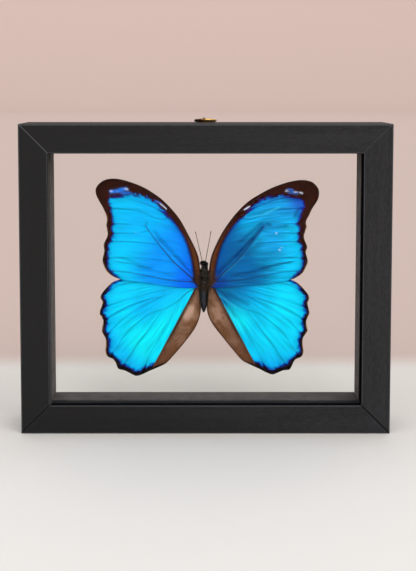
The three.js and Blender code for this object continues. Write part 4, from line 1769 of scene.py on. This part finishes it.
@dataclass
class Body:
    """Head, thorax, abdomen and legs, blended from the solid into one grown form, with fur."""

    node: str = "butterfly_body"
    voxel: float = 0.16
    fur: Fur = Fur(22.0e6, 1.7, 0.035, (0.0, -0.1, -0.9), seed=7)
    head_lift: float = 1.0
    lump: float = 0.12
    ridge_x: float = -0.35
    eyes: tuple[tuple[float, float, float, float], ...] = (
        (-1.5, 0.2, 9.8, 1.42), (1.1, 0.4, 9.2, 1.36))

    def build(self) -> bpy.types.Object:
        """Makes the body's skin.

        Returns:
            The body, with the numbers that its finish and its fur read.
        """
        mesh = melt(self.node, self.node + "_grown", self.voxel, 0.6, 5)
        self._shape(mesh)
        mesh.shade_smooth()
        piece = add_object(mesh.name, mesh)
        self._mark(piece)
        piece.data.materials.append(InsectShell().make())
        return piece

    def _shape(self, mesh: bpy.types.Mesh) -> None:
        """Lifts the head a little and gives the thorax its dried lumps."""
        at = vertex_rows(mesh) / MM - np.array(SPECIMEN_AT)
        normals = vertex_rows(mesh, "normal")
        # Five slanting waves, whose sum is the uneven skin of a dried thorax.
        waves = np.array([(3.1, 0.6, 1.4), (-1.2, 2.2, 2.9), (2.0, -2.8, 1.7), (0.7, 3.3, -2.4),
                          (-2.6, 1.1, -3.0)])
        lumps = np.sin(at @ waves.T + np.arange(5) * 1.7).sum(axis=1)
        thorax = np.clip((7.5 - at[:, 2]) / 2, 0, 1) * np.clip((at[:, 2] + 5) / 2, 0, 1)
        thorax *= np.clip((2.5 - at[:, 1]) / 1, 0, 1)
        at += normals * (self.lump * thorax * lumps)[:, None]
        at[:, 2] += self.head_lift * np.clip((at[:, 2] - 4.5) / 3.5, 0, 1)
        mesh.vertices.foreach_set("co", ((at + np.array(SPECIMEN_AT)) * MM).ravel())
        mesh.update()

    def _mark(self, piece: bpy.types.Object) -> None:
        """Stores where the eyes, abdomen, legs and fur are."""
        # Places are in mm to the right, back and up from where the wings meet the body.
        at = vertex_rows(piece.data) / MM - np.array(SPECIMEN_AT)
        eye = np.zeros(len(at))
        for x, y, z, radius in self.eyes:
            gap = np.linalg.norm(at - np.array([x, y, z]), axis=1)
            eye = np.maximum(eye, np.clip((radius - gap) / 0.15, 0, 1))
        eye *= np.clip((np.abs(at[:, 0] + 0.2) - 0.7) / 0.3, 0, 1)
        abdomen = np.clip((-4.6 - at[:, 2]) / 0.8, 0, 1)
        flecked = np.clip(1.8 - np.abs(at[:, 0]), 0, 1) * np.clip(7 - at[:, 2], 0, 1) * (1 - abdomen)
        # Painted highlight: lighter down the middle of the abdomen's front.
        from_ridge = np.abs(at[:, 0] - self.ridge_x)
        ridge_highlight = np.clip(1 - from_ridge / 1.3, 0, 1) * np.clip(-at[:, 1], 0, 1)
        leg = np.clip((at[:, 1] - 3.5) / 0.3, 0, 1) * (np.abs(at[:, 0]) > 1.3)
        thorax = np.clip((6.4 - at[:, 2]) / 2.0, 0, 1) * np.clip((at[:, 2] + 6.2) / 1.5, 0, 1)
        flanks = np.clip((np.abs(at[:, 0]) - 1.4) / 1.4, 0.06, 1)
        rear = np.clip((-1.5 - at[:, 2]) / 2.0, 0, 1)
        hairy = thorax * np.clip(flanks + rear, 0, 1) * (1 - leg)
        for name, value in (("eye", eye), ("abdomen", abdomen), ("ridge_highlight", ridge_highlight),
                            ("leg", leg), ("flecked", flecked), ("hairy", hairy)):
            carry(piece, name, value)

    def build_fur(self, skin: bpy.types.Object) -> bpy.types.Object:
        """Sets short brown hair over the thorax, thickest along its sides."""
        return self.fur.grow(skin, "thorax_fur",
                             Hair("thorax hair", srgb(14, 10, 8), srgb(84, 62, 44)))


@dataclass
class Antenna:
    """A straight thin feeler of many short joints, thicker at its club."""

    node: str
    root: tuple[float, float, float]
    tip: tuple[float, float, float]
    joints: int = 42
    bow: float = 0.35
    thick: float = 0.2
    tapers: float = 0.03
    club: float = 0.1
    club_at: float = 0.94
    waist: float = 0.12

    def build(self) -> bpy.types.Object:
        """Sweeps the feeler, with a slight waist at each joint."""
        steps = self.joints * 3
        share = np.linspace(0, 1, steps + 1)
        line = np.array(self.root) + share[:, None] * (np.array(self.tip) - self.root)
        line[:, 1] -= self.bow * np.sin(np.pi * share)
        club = self.club * np.exp(-((share - self.club_at) / 0.035) ** 2)
        waist = 1 - self.waist * (np.arange(steps + 1) % 3 == 0)
        radius = (self.thick - self.tapers * share + club) * waist
        radius[-1] = 0.4 * self.thick
        source = curve_object("feeler line", [((line + SPECIMEN_AT) * MM, radius * MM)])
        skin = VeinSkin("feeler skin", srgb(22, 17, 15), srgb(84, 70, 62), fades=(10.0, 24.0))
        return sweep_tree(skin.make(), 10).run(source, self.node + "_jointed",
                                               {"Thickness": 1.0})


# ---- The frame and its fittings ------------------------------------------------------------


@dataclass
class WoodFrame:
    """The four rails, the spacers, the beads and the two panes, all kept from the solids."""

    sides: tuple[tuple[Grain, tuple[str, ...]], ...] = (
        (Grain.ACROSS, ("top", "bottom")), (Grain.UPRIGHT, ("left", "right")))
    painted_lit_upright_card: tuple[Colour, Colour] = (srgb(80, 75, 73), srgb(106, 100, 98))

    def dress(self) -> None:
        """Gives each solid its finish."""
        pane = ClearPane().make()
        for grain, sides in self.sides:
            wood = StainedWood(grain).make()
            # Painted light: the upright spacers take a paler copy of the grey card for the light
            # they catch.
            paler = self.painted_lit_upright_card if grain is Grain.UPRIGHT else ()
            card = GreyCard(grain, *paler).make()
            bead = StainedWood(grain, srgb(14, 13, 14), srgb(30, 28, 30), rough=0.6).make()
            for side in sides:
                coat(f"rail_{side}", wood)
                coat(f"spacer_{side}", card)
                coat(f"stop_bead_{side}", bead)
        coat("front_glass", pane)
        coat("back_glass", pane)


def coat(node: str, material: bpy.types.Material) -> None:
    """Gives a solid its material."""
    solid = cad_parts[node]
    solid.data.materials.clear()
    solid.data.materials.append(material)
    log.info("%s: the solid, in %s", node, material.name)


@dataclass
class Hanger:
    """The screw eye in the top rail and the ring that swings in it."""

    eye_x: float = -0.9
    eye_y: float = -2.0
    loop_radius: float = 1.35
    loop_wire: float = 0.35
    loop_crown: float = 1.1
    solid_wire: float = 0.45
    eye_turn: float = -9.0
    ring_radius: float = 5.65
    ring_wire: float = 0.7
    seat: float = 0.1
    shank: float = 0.7
    shank_length: float = 6.5
    shank_point: float = 0.3
    neck: float = 0.6
    loop_ends: tuple[float, float] = (-0.5, 1.38)
    ring_joint: float = 0.1

    def __post_init__(self) -> None:
        """Works out the heights from the top rail, with the eye's wire as in the solid."""
        self.rail_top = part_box("rail_top")[1][2] / MM
        self.eye_height = self.rail_top + self.loop_radius + self.solid_wire + self.seat
        inside = self.loop_radius - self.solid_wire
        self.ring_axis = self.eye_height - inside + self.ring_wire + self.seat
        drop = self.ring_axis - self.rail_top - self.ring_wire - self.seat
        self.tilt = math.asin(drop / (2 * self.ring_radius))

    def build_ring(self, brass: bpy.types.Material) -> bpy.types.Object:
        """Bends the ring from round wire whose ends meet at the back."""
        angle = np.linspace(0, 2 * math.pi, 97)[:-1]
        x = self.ring_radius * np.sin(angle)
        back = self.ring_radius * (1 - np.cos(angle))
        line = np.column_stack([x, self.eye_y + back * math.cos(self.tilt),
                                self.ring_axis - back * math.sin(self.tilt)])
        gap = np.abs(angle - math.pi)
        radius = self.ring_wire * (1 - self.ring_joint * np.exp(-(gap / 0.04) ** 2))
        source = curve_object("ring line", [(line * MM, radius * MM)], cyclic=True)
        return sweep_tree(brass, 20).run(source, "hanging_ring_wire", {"Thickness": 1.0})

    def build_eye(self, brass: bpy.types.Material) -> bpy.types.Object:
        """Bends the screw eye from wire: a shank, a neck and a loop that nearly closes."""
        turn = math.radians(self.eye_turn)
        across = np.array([-math.sin(turn), math.cos(turn)])
        angle = np.linspace(*(end * math.pi for end in self.loop_ends), 72)
        wide = self.loop_radius * np.cos(angle)
        rise = np.sin(angle)
        high = np.where(rise > 0, self.loop_crown, self.loop_radius) * rise
        loop = np.column_stack([self.eye_x + across[0] * wide, self.eye_y + across[1] * wide,
                                self.eye_height + high])
        foot = self.rail_top - self.shank_length
        neck = np.column_stack([np.full(6, self.eye_x), np.full(6, self.eye_y),
                                np.linspace(foot, loop[0, 2] - 0.25, 6)])
        line = np.vstack([neck, loop])
        radius = np.concatenate([[self.shank_point], np.full(3, self.shank),
                                 [self.neck], np.full(len(loop) + 1, self.loop_wire)])
        source = curve_object("eye line", [(line * MM, radius * MM)])
        return sweep_tree(brass, 16).run(source, "screw_eye_wire", {"Thickness": 1.0})


@dataclass
class GlueDab:
    """The clear waisted drop that holds the thorax to the back pane."""

    node: str = "glue_dab"
    voxel: float = 0.2

    def build(self) -> bpy.types.Object:
        """Rounds the solid into a drop."""
        mesh = melt(self.node, self.node + "_clear", self.voxel, 0.5, 6)
        mesh.shade_smooth()
        mesh.materials.append(ClearGlue().make())
        return add_object(mesh.name, mesh)


# ---- The studio ----------------------------------------------------------------------------


@dataclass
class Studio:
    """The table and the paper behind it, soft lights and the camera."""

    floor_radius: float = 8.0
    wall_radius: float = 1.6
    wall_height: float = 2.2
    eye: tuple[float, float, float] = (-0.0049, -0.584, 0.190)
    lens: float = 66.2
    tilt: float = 4.08
    shift: tuple[float, float] = (0.0199, -0.215)
    sides: int = 96
    sweep_steps: int = 16

    def build_backdrop(self) -> bpy.types.Object:
        """Makes the round floor, whose edge sweeps up into a low wall."""
        sides = self.sides
        profile = [(r, 0.0) for r in (0.3, 0.8, 1.6, 3.2, 5.6, self.floor_radius)]
        for step in range(1, self.sweep_steps + 1):
            angle = math.pi / 2 * step / self.sweep_steps
            profile.append((self.floor_radius + self.wall_radius * math.sin(angle),
                            self.wall_radius * (1 - math.cos(angle))))
        profile.append((self.floor_radius + self.wall_radius, self.wall_height))
        points = [(0.0, 0.0, 0.0)]
        for radius, height in profile:
            points += [(radius * math.cos(2 * math.pi * i / sides),
                        radius * math.sin(2 * math.pi * i / sides), height)
                       for i in range(sides)]
        faces: list[tuple[int, ...]] = [(0, 1 + i, 1 + (i + 1) % sides) for i in range(sides)]
        for ring in range(len(profile) - 1):
            for i in range(sides):
                j = (i + 1) % sides
                a, b = 1 + ring * sides, 1 + (ring + 1) * sides
                faces.append((a + i, b + i, b + j, a + j))
        backdrop = add_mesh("studio_floor", np.array(points), faces)
        backdrop.data.materials.append(StudioPaper().make())
        return backdrop

    def add_light(self, name: str, bearing: float, height: float, strength: float,
                  softness: float, colour: Colour) -> None:
        """Adds a far soft light that reaches everything evenly.

        Args:
            name: the light's name.
            bearing: where it stands, in degrees round from the front towards the right.
            height: how high it stands, in degrees.
            strength: its strength.
            softness: how wide it looks, in degrees.
            colour: its colour.
        """
        lamp = bpy.data.lights.new(name, "SUN")
        lamp.energy = strength
        lamp.angle = math.radians(softness)
        lamp.color = colour[:3]
        made = add_object(name, lamp)
        turn, rise = math.radians(bearing), math.radians(height)
        towards = Vector((math.sin(turn) * math.cos(rise), -math.cos(turn) * math.cos(rise),
                          math.sin(rise)))
        made.rotation_euler = towards.to_track_quat("Z", "Y").to_euler()

    def light(self) -> None:
        """Sets the lights and the even sky."""
        self.add_light("key light", 35, 42, 1.05, 50, (1.0, 0.99, 0.97, 1.0))
        self.add_light("fill light", -40, 30, 0.6, 60, (0.97, 0.98, 1.0, 1.0))
        self.add_light("back light", 170, 50, 0.5, 60, (1.0, 0.98, 0.97, 1.0))
        world = bpy.data.worlds.new("studio sky")
        world.use_nodes = True
        sky = world.node_tree.nodes["Background"]
        sky.inputs["Color"].default_value = (1.0, 0.985, 0.975, 1.0)
        sky.inputs["Strength"].default_value = 0.66
        bpy.context.scene.world = world

    def add_camera(self) -> None:
        """Sets the camera a little above the upper edge, looking slightly down."""
        camera = bpy.data.cameras.new("camera")
        camera.lens = self.lens
        camera.sensor_width = 36.0
        camera.shift_x, camera.shift_y = self.shift
        made = add_object("camera", camera)
        made.location = self.eye
        made.rotation_euler = (math.radians(90 - self.tilt), 0.0, 0.0)
        bpy.context.scene.camera = made
        settings = bpy.context.scene.view_settings
        settings.view_transform = "Standard"
        settings.look = "None"


# ---- The whole ------------------------------------------------------------------------------


def place(piece: bpy.types.Object, body: str, slot: str, *nodes: str) -> None:
    """Hands a piece to its body and hides the solids that it stands for.

    Args:
        piece: the finished piece.
        body: the body that it rides on.
        slot: the record's material slot; not used.
        *nodes: the solids that it replaces.
    """
    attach(piece, body)
    if nodes:
        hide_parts(*nodes)
    log.info("%s: %d faces on %s", piece.name, len(piece.data.polygons), body)


def main() -> None:
    """Builds and dresses every piece in order."""
    logging.basicConfig(level=logging.INFO, format="%(message)s")
    studio = Studio()
    studio.add_camera()
    studio.build_backdrop()
    studio.light()

    WoodFrame().dress()
    brass = PlatedBrass().make()
    hanger = Hanger()
    place(hanger.build_eye(brass), "frame", "brass", "screw_eye")
    place(hanger.build_ring(brass), "ring", "brass", "hanging_ring")

    body = Body()
    skin = body.build()
    place(skin, "frame", "body_chitin", body.node)
    place(body.build_fur(skin), "frame", "body_chitin")
    for antenna in (Antenna("left_antenna", (-1.25, -0.7, 11.0), (-5.1, -2.0, 28.0)),
                    Antenna("right_antenna", (0.55, -0.7, 10.8), (3.7, -2.0, 28.4))):
        place(antenna.build(), "frame", "body_chitin", antenna.node)
    place(GlueDab().build(), "frame", "clear_glue", "glue_dab")

    for side in Side:
        wing = make_hindwing(side)
        place(wing.build(), "frame", "hindwing_scales", wing.node)
        veins = VeinSkin(wing.node + " vein skin", srgb(0, 34, 82), srgb(0, 130, 226),
                         fades=(16.0, 40.0))
        place(wing.build_veins(veins), "frame", "hindwing_scales")
    for side in Side:
        wing = make_forewing(side)
        sheet = wing.build()
        place(sheet, "frame", "forewing_scales", wing.node)
        place(wing.build_fur(sheet), "frame", "body_chitin")
        veins = VeinSkin(wing.node + " vein skin", srgb(1, 10, 44), srgb(0, 84, 196))
        place(wing.build_veins(veins), "frame", "forewing_scales")


if __name__ == "__main__":
    main()
